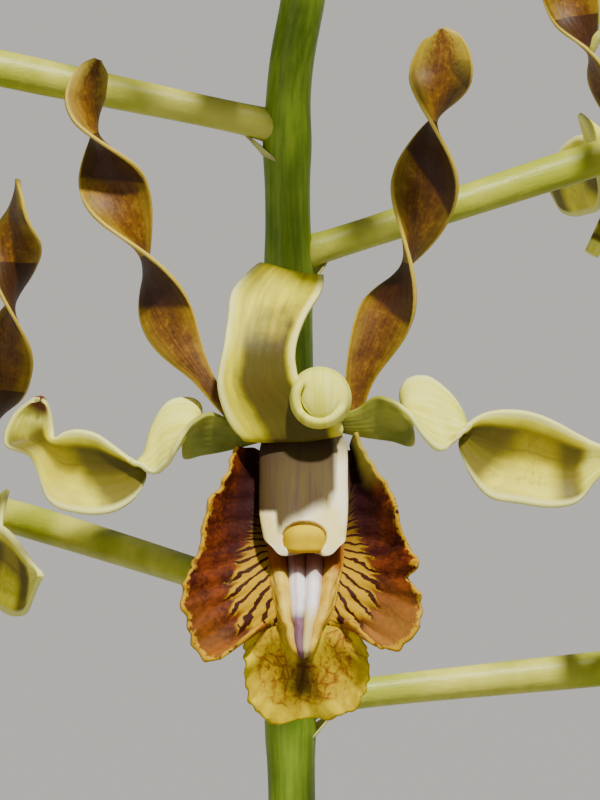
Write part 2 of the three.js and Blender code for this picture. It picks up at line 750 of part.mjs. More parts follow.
function leafyCane(cane, number) {
  const random = seededNumbers(7 + number);
  const pieces = [caneRod(cane, 0, 1, 8, 7)];
  for (let i = 0; i < cane.leaves; i += 1) {
    const t = cane.from + ((0.97 - cane.from) * i) / (cane.leaves - 1);
    const azimuth = cane.azimuth + (i % 2) * 180 + 16 * (random() - 0.5);
    const length = LEAF_LENGTH * cane.leafSize * (0.8 + 0.2 * Math.sin(Math.PI * t) + 0.08 * random());
    const width = LEAF_WIDTH * Math.sqrt(cane.leafSize) * (0.9 + 0.14 * random());
    const lift = cane.lift + 10 * t;
    pieces.push(leaf(caneRow(cane, t), azimuth, length, width, lift, lift + 2 + 14 * random()));
  }
  let solid = joined(pieces);
  if (number === 0) {
    const hole = rod([[...STEM_PATH[0].slice(0, 2), 336.8, 1.9 + GAP], [4, 8, 352, 1.9 + GAP]], 10);
    solid = solid.subtract(body(hole));
  }
  addPart(cane.name, geometryFrom(solid, 0.25), '#4f7a35', 0.5);
}

function insideRadius(z) {
  return FOOT_RADIUS - WALL + ((RIM_RADIUS - 3 - FOOT_RADIUS) * z) / POT_HEIGHT;
}

function bark() {
  const random = seededNumbers(41);
  const low = POT_FLOOR + GAP;
  const height = BARK_TOP - low;
  const fill = new THREE.CylinderGeometry(insideRadius(BARK_TOP) - GAP, insideRadius(low) - GAP, height, 30);
  fill.rotateX(Math.PI / 2);
  fill.translate(0, 0, low + height / 2);
  const pieces = [fill];
  for (let i = 0; i < CHIPS; i += 1) {
    const chip = new THREE.BoxGeometry(10 + 9 * random(), 7 + 5 * random(), 4 + 3 * random());
    chip.rotateX(0.5 * (random() - 0.5));
    chip.rotateY(0.5 * (random() - 0.5));
    chip.rotateZ(Math.PI * random());
    const r = (insideRadius(BARK_TOP) - 11) * Math.sqrt((i + 0.6) / CHIPS);
    const round = i * 2.4;
    chip.translate(r * Math.cos(round), r * Math.sin(round), BARK_TOP + 0.6 + random());
    pieces.push(chip);
  }
  let solid = joined(pieces);
  for (const cane of CANES) {
    solid = solid.subtract(body(caneRod(cane, 2 * GAP, 0.32, 2, 8)));
  }
  const parts = solid.decompose().sort((a, b) => b.volume() - a.volume());
  addPart('potting_bark', geometryFrom(parts[0], 0.2), '#5d4028', 0.9);
}

function pot() {
  const rimBottom = POT_HEIGHT - RIM_HEIGHT;
  const wallTop = insideRadius(rimBottom) + WALL;
  const profile = [
    [0, 0],
    [FOOT_RADIUS - 1.5, 0],
    [FOOT_RADIUS, 1.5],
    [wallTop, rimBottom],
    [RIM_RADIUS - 1.5, rimBottom],
    [RIM_RADIUS, rimBottom + 1.5],
    [RIM_RADIUS, POT_HEIGHT - 2],
    [RIM_RADIUS - 2, POT_HEIGHT],
    [insideRadius(POT_HEIGHT) + 1.5, POT_HEIGHT],
    [insideRadius(POT_HEIGHT), POT_HEIGHT - 1.5],
    [insideRadius(POT_FLOOR), POT_FLOOR],
    [0, POT_FLOOR],
  ];
  const shell = new THREE.LatheGeometry(profile.map(([r, z]) => new THREE.Vector2(r, z)), 26);
  shell.rotateX(Math.PI / 2);
  let solid = body(shell);
  for (let i = 0; i < DRAINS; i += 1) {
    const angle = ((i + 0.5) * 2 * Math.PI) / DRAINS;
    const hole = new THREE.CylinderGeometry(DRAIN_RADIUS, DRAIN_RADIUS, 30, 10);
    hole.rotateX(Math.PI / 2);
    hole.translate(DRAIN_OFFSET * Math.cos(angle), DRAIN_OFFSET * Math.sin(angle), 0);
    solid = solid.subtract(body(hole));
  }
  addPart('pot', geometryFrom(solid), '#b5693f', 0.85);
}

pot();
bark();
CANES.forEach(leafyCane);
flowerStem();
mainBloom();
OTHER_BLOOMS.forEach((place, i) => otherBloom(place, i + 1));

export default plant;
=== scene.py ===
import math
import random

import bmesh
import bpy
from mathutils import Matrix, Vector, noise


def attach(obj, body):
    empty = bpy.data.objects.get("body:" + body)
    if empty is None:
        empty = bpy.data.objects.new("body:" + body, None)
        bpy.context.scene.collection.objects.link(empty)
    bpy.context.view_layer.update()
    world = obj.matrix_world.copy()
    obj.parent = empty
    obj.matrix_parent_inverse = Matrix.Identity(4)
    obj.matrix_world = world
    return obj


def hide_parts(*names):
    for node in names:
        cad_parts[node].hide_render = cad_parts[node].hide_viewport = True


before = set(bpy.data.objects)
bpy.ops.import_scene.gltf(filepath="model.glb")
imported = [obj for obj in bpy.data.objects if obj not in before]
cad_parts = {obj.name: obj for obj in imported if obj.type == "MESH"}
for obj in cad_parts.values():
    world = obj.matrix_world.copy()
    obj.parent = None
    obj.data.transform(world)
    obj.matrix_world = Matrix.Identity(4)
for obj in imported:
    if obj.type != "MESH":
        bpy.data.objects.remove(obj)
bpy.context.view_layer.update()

MM = 0.001
TURN = 2 * math.pi
WELD = 1e-4

# Sizes are in millimetres, nearly all of them as in the part's own source.
GAP = 0.35
POT_HEIGHT = 108
FOOT_RADIUS = 42
RIM_RADIUS = 62
RIM_HEIGHT = 18
WALL = 4.5
POT_FLOOR = 7
DRAIN_RADIUS = 5
DRAIN_OFFSET = 22
DRAINS = 4
BARK_TOP = 92
CHIPS = 330
GOLDEN_ANGLE = 2.39996
CANE_DEPTH = 40
JOINT_SPACING = 27
STALK_RADIUS = 1.05
OVARY_RADIUS = 1.35
SEPAL_THICKNESS = 0.5
PETAL_THICKNESS = 0.42
LIP_THICKNESS = 0.45
LEAF_THICKNESS = 0.9
BRACT_THICKNESS = 0.25
KEELS = 4
SPINE_STEPS = 4

# The camera's sensor, its distance, and the height and middle of the frame in the main bloom's plane.
SENSOR = 36
CAMERA_DISTANCE = 400
FRAME_HEIGHT = 57.14
FRAME_CENTRE = Vector((0, 1.79, 0))

# Rows of the bloom blades, in the bloom's own frame: sideways, up, forward, width, turn in degrees.
PETAL_LEFT = (
    (-3.8, -0.6, -0.7, 0.9, 10),
    (-5.1, 0.9, -0.9, 0.9, 10),
    (-7.1, 3.6, -1.2, 1.6, 10),
    (-9.3, 7.1, -1.5, 3.8, -5),
    (-11.2, 12.1, -1.7, 4.3, -90),
    (-13.3, 16.8, -1.8, 4.8, -178),
    (-14.6, 20.5, -1.7, 4.3, -262),
    (-15.3, 23.2, -1.5, 3.8, -315),
    (-14.8, 25.3, -1.5, 2.3, -335),
    (-14.5, 26.2, -1.5, 0.4, -345),
)
PETAL_RIGHT = (
    (3.95, -0.6, -0.7, 0.9, 10),
    (3.9, 0.6, -0.9, 0.9, 10),
    (4.4, 3.8, -1.2, 2.3, 10),
    (5.9, 7.4, -1.5, 4.0, -10),
    (7.6, 11.6, -1.7, 4.3, -90),
    (8.9, 16.8, -1.8, 4.9, -175),
    (9.5, 21.4, -1.7, 4.2, -262),
    (10.1, 25.0, -1.5, 4.6, -350),
    (10.3, 27.4, -1.5, 3.2, -372),
    (10.2, 28.4, -1.5, 0.4, -380),
)
# The lateral sepals fold over themselves, so their rows give one margin and then the other.
SEPAL_LEFT = (
    (-2.5, 0, 0.5, -2.5, -1.07, 0),
    (-4.84, 0.36, 1.2, -5.14, -1.78, 0.3),
    (-6.4, 0.92, 2, -7, -2.14, 0.2),
    (-7.59, 0.28, 2.6, -8.29, -2.36, -0.4),
    (-8.44, -0.78, 2.9, -7.89, -0.79, -1.6),
    (-8.94, -1.84, 2.7, -7.11, 1.01, -2.2),
    (-9.31, -2.56, 2.2, -7.76, 1.87, -2.2),
    (-9.75, -3.06, 1.6, -9.4, 1.65, -2),
    (-10.19, -3.42, 1.1, -10.54, 0.07, -1.4),
    (-10.69, -3.42, 0.9, -10.81, -1.57, -0.9),
    (-11.26, -2.99, 0.9, -11.17, -2.79, -0.9),
    (-12.26, -2.28, 0.8, -11, -3.93, 0),
    (-13.4, -1.43, 0.8, -11.84, -5.28, 0.5),
    (-14.61, -0.64, 0.8, -13.48, -6.2, 0.7),
    (-15.83, -0.36, 0.7, -15.69, -6.28, 0.6),
    (-16.84, -0.5, 0.4, -17.99, -5.42, 0.3),
    (-17.57, -0.86, 0, -19.3, -2.36, -0.2),
    (-17.66, -0.29, -0.3, -21.18, -1.36, -0.7),
    (-17.79, 0.71, -0.2, -20.67, 0.5, -0.6),
    (-18.07, 1.5, 0, -19.37, 1.64, -0.2),
    (-18.42, 1.86, 0.1, -18.57, 1.86, 0.1),
)
SEPAL_RIGHT = (
    (2.5, 0.64, 0.5, 2.5, -0.43, 0),
    (4.06, 1.14, 1.2, 4.57, -0.86, 0.2),
    (5.33, 1.99, 1.9, 6.57, -1.14, 0),
    (6.6, 1.7, 2.6, 8.01, -1.43, -0.4),
    (7.66, 0.92, 2.9, 7.89, 0, -1.7),
    (8.37, -0.14, 2.8, 7.25, 2.01, -2.2),
    (9.02, -1.14, 2.4, 7.76, 3.23, -2.2),
    (9.67, -1.78, 1.8, 9.19, 3.45, -2),
    (10.33, -1.78, 1.2, 10.54, 2.44, -1.4),
    (10.9, -1.28, 0.9, 11.45, 1, -0.9),
    (11.47, -0.57, 0.9, 11.67, -0.36, -0.9),
    (12.12, 0.21, 0.8, 11.36, -1.64, 0),
    (13.26, 0.86, 0.8, 12.13, -3.57, 0.5),
    (14.83, 1.07, 0.8, 13.55, -5.13, 0.7),
    (16.54, 0.86, 0.8, 15.69, -5.56, 0.7),
    (18.26, 0.21, 0.6, 17.98, -5.85, 0.5),
    (19.84, -0.64, 0.4, 19.85, -5.5, 0.2),
    (21.2, -1.29, 0.2, 21.14, -4.07, 0),
    (22.36, -1.71, 0, 22.36, -2.93, 0),
    (23.14, -2.14, 0, 23.21, -2.29, 0),
)
SEPAL_TOP = (
    (-0.1, -1.15, 1.2, 5.6, 0),
    (-0.4, -1.2, 2.2, 7.4, 0),
    (-1.3, 0.6, 2.5, 7.9, 0),
    (-2.8, 2.7, 2.7, 6.1, 0),
    (-3.0, 4.2, 2.6, 5.4, 0),
    (-2.85, 5.6, 2.3, 5.1, 0),
    (-2.4, 7.5, 1.3, 5.5, 0),
    (-1.7, 9.4, -0.1, 6.2, -4),
    (-0.7, 10.9, -1.8, 4.8, -12),
    (-0.4, 10.4, -3.4, 3.0, -14),
    (-0.4, 9.3, -4.3, 0.5, -14),
)
SCROLL_CENTRE = Vector((1.4, 1.9, 3.9))
SCROLL_RADIUS = 2.1

# Rays of the lip from its middle band to its edge, left to right: root and edge.
LIP_RAYS = (
    (-2.9, -1.8, -0.2, -4.5, -1.5, 1.8),
    (-2.8, -3.8, 0.0, -5.4, -3.6, 3.3),
    (-2.6, -5.9, 0.6, -6.6, -6.2, 4.6),
    (-2.4, -8.1, 1.5, -7.2, -8.8, 5.6),
    (-2.1, -10.1, 3.6, -8.2, -11.3, 6.4),
    (-1.9, -11.5, 4.6, -8.1, -13.9, 7.0),
    (-1.7, -12.5, 5.1, -6.8, -16.6, 7.4),
    (-1.6, -13.2, 5.4, -4.9, -15.8, 7.0),
    (-1.4, -13.8, 5.6, -2.8, -14.0, 6.0),
    (-1.1, -14.2, 5.7, -3.9, -15.1, 5.6),
    (-1.0, -14.9, 5.8, -4.0, -16.8, 5.2),
    (-0.7, -15.6, 5.9, -3.6, -19.4, 4.8),
    (-0.3, -16.1, 5.9, -2.0, -21.2, 4.5),
    (0.2, -16.2, 5.9, 0.2, -20.9, 4.3),
    (0.8, -16.1, 5.9, 2.7, -20.8, 4.5),
    (1.1, -15.6, 5.9, 4.5, -19.4, 4.8),
    (1.4, -14.9, 5.8, 4.9, -17.1, 5.2),
    (1.6, -14.2, 5.7, 4.6, -15.5, 5.6),
    (1.9, -13.8, 5.6, 3.8, -13.8, 6.0),
    (2.2, -13.2, 5.4, 5.0, -15.2, 6.8),
    (2.4, -12.5, 5.1, 6.9, -15.6, 7.2),
    (2.6, -11.5, 4.6, 8.6, -12.9, 7.0),
    (2.9, -10.1, 3.6, 8.1, -10.4, 6.4),
    (3.1, -8.1, 1.5, 7.7, -8.6, 5.8),
    (3.4, -5.9, 0.6, 6.6, -5.6, 4.6),
    (3.7, -3.8, 0.0, 5.3, -3.0, 3.3),
    (3.6, -1.8, -0.2, 4.0, -0.5, 1.6),
)

# Side, rows and hand of the folded sepals, and side, rows and lean of the dark turns of the petals, whose
# dark brown is partly their own colour and partly painted shade.
SIDE_SEPALS = (("left", SEPAL_LEFT, -1), ("right", SEPAL_RIGHT, 1))
PETALS = (("left", PETAL_LEFT, (0.15, 0.25)), ("right", PETAL_RIGHT, (0.12, 0.5)))
OTHER_LEAN = (0.15, 0.3)

# Sections of the column from its root to its corners: up, forward, half width, half thickness.
COLUMN_ROWS = (
    (-0.4, 0.5, 2.6, 0.8),
    (-1.6, 1.1, 3.1, 0.6),
    (-3.9, 2.0, 3.15, 0.8),
    (-6.1, 3.2, 3.15, 0.95),
    (-7.9, 4.3, 3.0, 0.95),
)
COLUMN_MIDDLE = 0.25
CORNERS_FROM = 0.72
HUB_CENTRE = Vector((0.2, 0, -0.6))
HUB_RADII = (3.0, 1.45, 2.1)
OTHER_HUB_CENTRE = Vector((0.2, 0, 0.1))
OTHER_HUB_RADII = (3.3, 1.5, 2.6)
SPUR_ROWS = ((0.2, -0.9, -1.6, 1.15), (0.2, -6.8, -6.6, 0.6))
ANTHER_CENTRE = Vector((0.3, -7.9, 5.0))
ANTHER_RADII = (1.5, 1.05, 1.1)
OVARY_END = Vector((0.2, 0.5, -2.75 - GAP))

# The main bloom: stalk height on the stem, centre, azimuth and pitch.
MAIN_BLOOM = (516.5, (0, -22, 520), 270, 8)
# The other blooms: stalk height on the stem, centre, azimuth, pitch, roll and size.
OTHER_BLOOMS = (
    (448, (-29, 5, 453), 172, 2, 5, 1),
    (459, (30, -5, 463), 351, 2, -5, 1),
    (479, (-31, -8, 484), 194, 3, 5, 0.98),
    (495.5, (30, 2, 498), 2, 6, -6, 0.97),
    (503, (-28, 20, 506), 202, 4, 4, 0.97),
    (530, (27, 7, 536.5), 22, 8, -3, 0.95),
    (539.5, (-28, -6, 544.5), 186, 8, 3, 0.95),
    (553, (-4, 25, 566), 96, 10, -5, 0.92),
    (562, (6, -25, 573), 280, 12, 5, 0.9),
)
# Buds: height of the stalk on the stem, azimuth, length of the stalk and size.
BUDS = (
    (574, 200, 15, 6.5),
    (582, 340, 13, 5.8),
    (590, 120, 11, 5.0),
    (597, 250, 9, 4.2),
    (603, 30, 7, 3.4),
)
# The flower stem: x, y, z and radius.
STEM_PATH = (
    (4.1, 8.3, 338, 1.9),
    (4, 8, 350, 1.9),
    (3.9, 6.8, 380, 2.0),
    (2.6, 3.0, 410, 1.95),
    (0.4, -2.6, 445, 1.85),
    (-0.2, -3.8, 470, 1.8),
    (-0.9, -4.0, 505, 1.75),
    (-0.7, -4.0, 520, 1.7),
    (-0.9, -4.0, 541, 1.65),
    (0.4, -4.0, 551, 1.6),
    (0.3, -3.8, 562, 1.5),
    (-0.3, -4.0, 585, 1.2),
    (0.4, -4.2, 606, 0.8),
)

# Canes: name, foot, top, greatest radius, azimuth of the first leaf, share of the height where the leaves
# start, their number, the size of the leaves and how steeply they rise.
CANES = (
    ("leafy_cane_flowering", (7, 16), (4, 8, 348), 6.2, 40, 0.68, 5, 0.95, 62),
    ("leafy_cane_left", (-26, 4), (-54, 4, 310), 5.8, 94, 0.36, 7, 1, 60),
    ("leafy_cane_right", (30, 2), (60, -4, 290), 5.6, 84, 0.36, 7, 0.97, 60),
    ("leafy_cane_front", (2, -24), (-2, -50, 232), 5.4, 186, 0.4, 6, 0.74, 72),
    ("leafy_cane_back", (-6, 34), (-14, 66, 270), 5.4, 168, 0.4, 6, 1, 60),
)
LEAF_LENGTH = 91.9
LEAF_WIDTH = 29


def along(rows, t):
    """A smooth curve through rows of any length."""
    last = len(rows) - 1
    x = min(max(t, 0), 1) * last
    i = min(int(x), last - 1)
    f = x - i
    b, c = rows[i], rows[i + 1]
    a = rows[i - 1] if i > 0 else [2 * p - q for p, q in zip(b, c)]
    d = rows[i + 2] if i + 2 <= last else [2 * q - p for p, q in zip(b, c)]
    out = []
    for p, q, r, s in zip(a, b, c, d):
        one = (r - p) / 2
        two = p - 2.5 * q + 2 * r - 0.5 * s
        three = 1.5 * (q - r) + (s - p) / 2
        out.append(q + f * (one + f * (two + f * three)))
    return out


def neighbours(rows, t):
    """The curve just before and just after t."""
    return along(rows, max(t - 0.01, 0)), along(rows, min(t + 0.01, 1))


def tangent_at(rows, t):
    before, after = neighbours(rows, t)
    return (Vector(after[:3]) - Vector(before[:3])).normalized()


def smooth(low, high, x):
    t = min(max((x - low) / (high - low), 0), 1)
    return t * t * (3 - 2 * t)


def once_a_row(work):
    """Keeps what work gives for each t, because a whole row of points asks for it."""
    kept = {}

    def at(t):
        key = round(t, 5)
        if key not in kept:
            kept[key] = work(t)
        return kept[key]

    return at


def upright(z):
    return Vector((0, 0, z))


def level(angle):
    """The level directions away from the axis and across, at an angle about it."""
    out = Vector((math.cos(angle), math.sin(angle), 0))
    return out, Vector((-out.y, out.x, 0))


def bloom_frame(centre, azimuth, pitch=0, roll=0, size=1):
    """Sideways, up and forward of a bloom that looks outwards at its azimuth."""
    a, p = math.radians(azimuth), math.radians(pitch)
    forward = Vector((math.cos(a) * math.cos(p), math.sin(a) * math.cos(p), math.sin(p)))
    sideways = level(a)[1]
    basis = Matrix((sideways, forward.cross(sideways), forward)).transposed().to_4x4()
    turned = Matrix.Rotation(math.radians(roll), 4, "Z") @ Matrix.Scale(size, 4)
    return Matrix.Translation(centre) @ basis @ turned


def new_mesh():
    """An empty mesh with a UV map, a thickness weight and a shade value for each point."""
    bm = bmesh.new()
    bm.loops.layers.uv.new("UVMap")
    bm.verts.layers.deform.new("thick")
    bm.verts.layers.float.new("shade")
    return bm


def mark(bm, verts, shade):
    """Gives each point the shade value that its finish reads."""
    value = bm.verts.layers.float["shade"]
    for vert in verts:
        vert[value] = shade(vert)


def faces_of(verts):
    return {face for vert in verts for face in vert.link_faces}


def sheet(bm, across, steps, place, material=0):
    """A grid with its own UV map, each corner moved to where place(s, t) says."""
    made = bmesh.ops.create_grid(bm, x_segments=across, y_segments=steps, size=0.5, calc_uvs=True)
    thick = bm.verts.layers.deform.verify()
    for vert in made["verts"]:
        s, t = vert.co.x + 0.5, vert.co.y + 0.5
        vert.co = place(s, t)
        vert[thick][0] = 1 - 0.75 * abs(2 * s - 1) ** 4
    for face in faces_of(made["verts"]):
        face.material_index = material
        face.smooth = True
    return made["verts"]


def welded(bm, verts):
    """Joins points that lie on each other, and gives the ones that are left."""
    bmesh.ops.remove_doubles(bm, verts=verts, dist=WELD)
    return [vert for vert in verts if vert.is_valid]


def closed(bm, verts, material):
    """Joins the two long sides of a rolled sheet and fills its ends."""
    verts = welded(bm, verts)
    edges = {edge for vert in verts for edge in vert.link_edges if edge.is_boundary}
    for face in bmesh.ops.holes_fill(bm, edges=list(edges), sides=0)["faces"]:
        face.material_index = material
    return verts


def tube(bm, rows, around, steps, material=0, shape=None, shade=0.0):
    """A round body along rows of x, y, z and radius, closed at both ends."""

    @once_a_row
    def ring(t):
        row = along(rows, t)
        tangent = tangent_at(rows, t)
        start = Vector((1, 0, 0)) if abs(tangent.z) > 0.9 else upright(1)
        one = (start - tangent * start.dot(tangent)).normalized()
        return Vector(row[:3]), one, tangent.cross(one), row[3]

    def place(s, t):
        centre, one, two, radius = ring(t)
        grown = radius * (shape(s, t) if shape else 1)
        angle = s * TURN
        return centre + one * (grown * math.cos(angle)) + two * (grown * math.sin(angle))

    verts = sheet(bm, around, steps, place, material)
    mark(bm, verts, lambda vert: shade)
    return closed(bm, verts, material)


def ball(bm, centre, radii, around, high, material=0, turned=Matrix()):
    where = Matrix.Translation(centre) @ turned @ Matrix.Diagonal((*radii, 1))
    made = bmesh.ops.create_uvsphere(
        bm, u_segments=around, v_segments=high, radius=1, matrix=where, calc_uvs=True)
    for face in faces_of(made["verts"]):
        face.material_index = material
        face.smooth = True
    return made["verts"]


def placed(name, data):
    """Puts a mesh, a light or a camera into the scene."""
    thing = bpy.data.objects.new(name, data)
    bpy.context.collection.objects.link(thing)
    return thing


def placed_mesh(bm, name):
    mesh = bpy.data.meshes.new(name)
    bm.to_mesh(mesh)
    bm.free()
    return placed(name, mesh)


def finished(bm, name, materials, node, where=Matrix(), thickness=0.0):
    """Turns the mesh into a piece on the object, in metres."""
    bmesh.ops.recalc_face_normals(bm, faces=bm.faces)
    bm.transform(Matrix.Scale(MM, 4) @ where)
    piece = placed_mesh(bm, name)
    for material in materials:
        piece.data.materials.append(material)
    if thickness:
        piece.vertex_groups.new(name="thick")
        solid = piece.modifiers.new("Solidify", "SOLIDIFY")
        solid.thickness = thickness * MM
        solid.offset = 0
        solid.vertex_group = "thick"
        solid.thickness_vertex_group = 0.4
    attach(piece, "root")
    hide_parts(node)
    return piece


class Socket:
    """One output of a node, on which arithmetic adds Math nodes."""

    def __init__(self, finish, socket):
        self.finish = finish
        self.socket = socket

    def math(self, operation, *values):
        inputs = dict(enumerate((self, *values)))
        return self.finish.add("ShaderNodeMath", {"operation": operation}, inputs)

    def __add__(self, other):
        return self.math("ADD", other)

    def __sub__(self, other):
        return self.math("SUBTRACT", other)

    def __rsub__(self, other):
        return (self * -1).math("ADD", other)

    def __mul__(self, other):
        return self.math("MULTIPLY", other)

    def __pow__(self, other):
        return self.math("POWER", other)

    __radd__ = __add__
    __rmul__ = __mul__

    def size(self):
        return self.math("ABSOLUTE")

    def wave(self):
        """A sine that runs between 0 and 1."""
        return self.math("SINE") * 0.5 + 0.5

    def clamped(self):
        return self.math("MAXIMUM", 0).math("MINIMUM", 1)


def tint(red, green, blue):
    """A colour given as 0 to 255 on screen."""
    parts = [c / 255 for c in (red, green, blue)]
    linear = [c / 12.92 if c <= 0.04045 else ((c + 0.055) / 1.055) ** 2.4 for c in parts]
    return (*linear, 1.0)


class Finish:
    """A material on the Principled shader, whose skin is laid on colour by colour."""

    def __init__(self, name, roughness=0.5, **constants):
        self.material = bpy.data.materials.new(name)
        self.material.use_nodes = True
        self.tree = self.material.node_tree
        self.shader = self.tree.nodes["Principled BSDF"]
        self.set(roughness=roughness, **constants)

    def set(self, **values):
        for key, value in values.items():
            self.feed(self.shader.inputs[key.replace("_", " ").title().replace("Ior", "IOR")], value)

    def feed(self, socket, value):
        if isinstance(value, Socket):
            self.tree.links.new(value.socket, socket)
        else:
            socket.default_value = value

    def add(self, kind, settings=None, inputs=None, out=0):
        node = self.tree.nodes.new(kind)
        for key, value in (settings or {}).items():
            setattr(node, key, value)
        for key, value in (inputs or {}).items():
            self.feed(node.inputs[key], value)
        return Socket(self, node.outputs[out])

    def split(self, vector):
        node = self.tree.nodes.new("ShaderNodeSeparateXYZ")
        self.feed(node.inputs[0], vector)
        return [Socket(self, output) for output in node.outputs]

    def uv(self):
        """Across and along a piece, each from 0 to 1."""
        return self.split(self.add("ShaderNodeTexCoord", out="UV"))[:2]

    def place(self):
        return self.add("ShaderNodeTexCoord", out="Object")

    def shade(self):
        return self.add("ShaderNodeAttribute", {"attribute_name": "shade"}, None, "Fac")

    def noise(self, vector, scale, detail, roughness, twist=0.0):
        inputs = {"Vector": vector, "Scale": scale, "Detail": detail, "Roughness": roughness}
        inputs["Distortion"] = twist
        return self.add("ShaderNodeTexNoise", None, inputs, "Fac")

    def clouds(self, scale, detail=3.0, roughness=0.5, twist=0.0):
        """Noise that fills the space of the object."""
        return self.noise(self.place(), scale, detail, roughness, twist)

    def streaks(self, x, y, detail, roughness=0.5, z=0.0):
        """Noise over coordinates that are stretched to make it long or wide."""
        vector = self.add("ShaderNodeCombineXYZ", None, {0: x, 1: y, 2: z})
        return self.noise(vector, 1.0, detail, roughness)

    def cells(self, scale, feature="F1"):
        inputs = {"Vector": self.place(), "Scale": scale}
        return self.add("ShaderNodeTexVoronoi", {"feature": feature}, inputs, "Distance")

    def ramp(self, value, low, high):
        """0 below low, 1 above high, and a smooth change between."""
        settings = {"interpolation_type": "SMOOTHSTEP"}
        return self.add("ShaderNodeMapRange", settings, {0: value, 1: low, 2: high, 3: 0.0, 4: 1.0})

    def fall(self, value, low, high):
        """1 below low and 0 above high."""
        return 1 - self.ramp(value, low, high)

    def blend(self, mask, *colours):
        """The first colour where the mask is 0, the second where it is 1."""
        first, second = (c if isinstance(c, Socket) else tint(*c) for c in colours)
        return self.add("ShaderNodeMix", {"data_type": "RGBA"}, {0: mask, 6: first, 7: second}, 2)

    def paint(self, mask, *colour):
        """Lays one more colour on the skin, as far as the mask says."""
        self.skin = self.blend(mask, self.skin, colour)

    def bump(self, height, strength, distance):
        """Relief whose distance is in millimetres."""
        inputs = {"Height": height, "Strength": strength, "Distance": distance * MM}
        self.set(normal=self.add("ShaderNodeBump", None, inputs))

    def done(self):
        self.set(base_color=self.skin)
        return self.material


def fleshy(name, roughness, weight, colours, depth=0.0012):
    """Living tissue that lets some light through."""
    f = Finish(name, roughness, subsurface_weight=weight, subsurface_radius=colours)
    f.set(subsurface_scale=depth, specular_ior_level=0.28)
    return f


def petal_finish():
    f = fleshy("brown_petal", 0.58, 0.06, (1.0, 0.45, 0.15))
    s, t = f.uv()
    edge = (s * 2 - 1).size()
    streaks = f.streaks(s * 20, t * 14, 4.0, 0.65)
    clouds = f.clouds(700.0, 3.0, 0.6)
    fine = f.clouds(3200.0, 3.0, 0.65)
    wander = clouds - 0.5
    veins = ((s + wander * 0.05) * (TURN * 9)).wave()
    tone = (streaks * 0.7 + clouds * 0.7 + fine * 0.5 - 0.45).clamped()
    f.skin = f.blend(f.ramp(tone, 0.2, 0.75), (77, 42, 4), (127, 84, 9))
    f.paint(f.ramp(fine + wander * 0.6, 0.55, 0.75) * 0.35, 180, 130, 24)
    f.paint(f.ramp(edge + wander * 0.7, 0.35, 1.0) * 0.6, 170, 140, 24)
    f.paint((veins ** 8) * 0.25, 84, 34, 14)
    # painted shade: the dark brown on the part of each turn that faces down, partly the petal's own colour
    under = f.ramp(f.shade() + wander * 0.5 + (fine - 0.5) * 0.25, 0.32, 0.62)
    f.paint(under * 0.85, 50, 20, 6)
    tip = f.ramp(t, 0.7, 1.0) * f.ramp(edge + (fine - 0.5) * 0.8, 0.1, 0.8)
    f.paint(tip * 0.8, 196, 176, 50)
    f.paint(f.ramp(edge + (fine - 0.5) * 0.05, 0.9, 0.97), 206, 180, 66)
    f.set(roughness=clouds * 0.25 + 0.4)
    f.bump(fine * 0.5 + veins * 0.25 + streaks * 0.5, 0.35, 0.12)
    return f.done()


def sepal_skin(name, weight, deep, light):
    """Pale skin with lengthwise streaks and fine lines, and what more is painted with."""
    f = fleshy(name, 0.55, weight, (1.0, 0.85, 0.3))
    s, t = f.uv()
    edge = (s * 2 - 1).size()
    clouds = f.clouds(420.0)
    fine = f.clouds(2600.0, 3.0, 0.6)
    streaks = f.streaks(s * 14, t * 5, 3.0, 0.55)
    lines = ((s + (clouds - 0.5) * 0.03) * (TURN * 7)).wave()
    f.skin = f.blend(f.ramp(streaks, 0.3, 0.72), deep, light)
    f.paint((lines ** 6) * 0.1, 140, 140, 46)
    f.bump(fine * 0.4 + lines * 0.25 + streaks * 0.4, 0.28, 0.12)
    return f, s, t, edge, clouds, fine


def dorsal_finish():
    """Yellow above, with a broad olive-brown painted shade on its lower half, painted shade at its foot,
    and pale margins.
    """
    f, s, t, edge, clouds, fine = sepal_skin("dorsal_sepal_skin", 0.18, (206, 192, 0), (242, 230, 24))
    wander = (clouds - 0.5) * 0.3
    # painted shade over the lower half of the sepal, with brown mottling inside it
    painted_shade = f.fall(t + wander + (0.5 - s) * 0.1, 0.48, 0.72)
    painted_shade = painted_shade * f.ramp(s + wander * 0.5, 0.12, 0.34) * f.fall(s + wander * 0.3, 0.84, 0.95)
    f.paint(painted_shade * 0.95, 71, 60, 5)
    f.paint(f.ramp(clouds * 0.6 + fine * 0.4, 0.48, 0.6) * painted_shade * 0.3, 100, 66, 12)
    # painted shade at the sepal's foot, next to the column
    f.paint(f.fall(t, 0.0, 0.12) * 0.5, 92, 70, 22)
    f.paint(f.ramp(edge + wander * 0.2, 0.8, 0.95) * f.ramp(t, 0.05, 0.3) * 0.85, 252, 248, 150)
    return f.done()


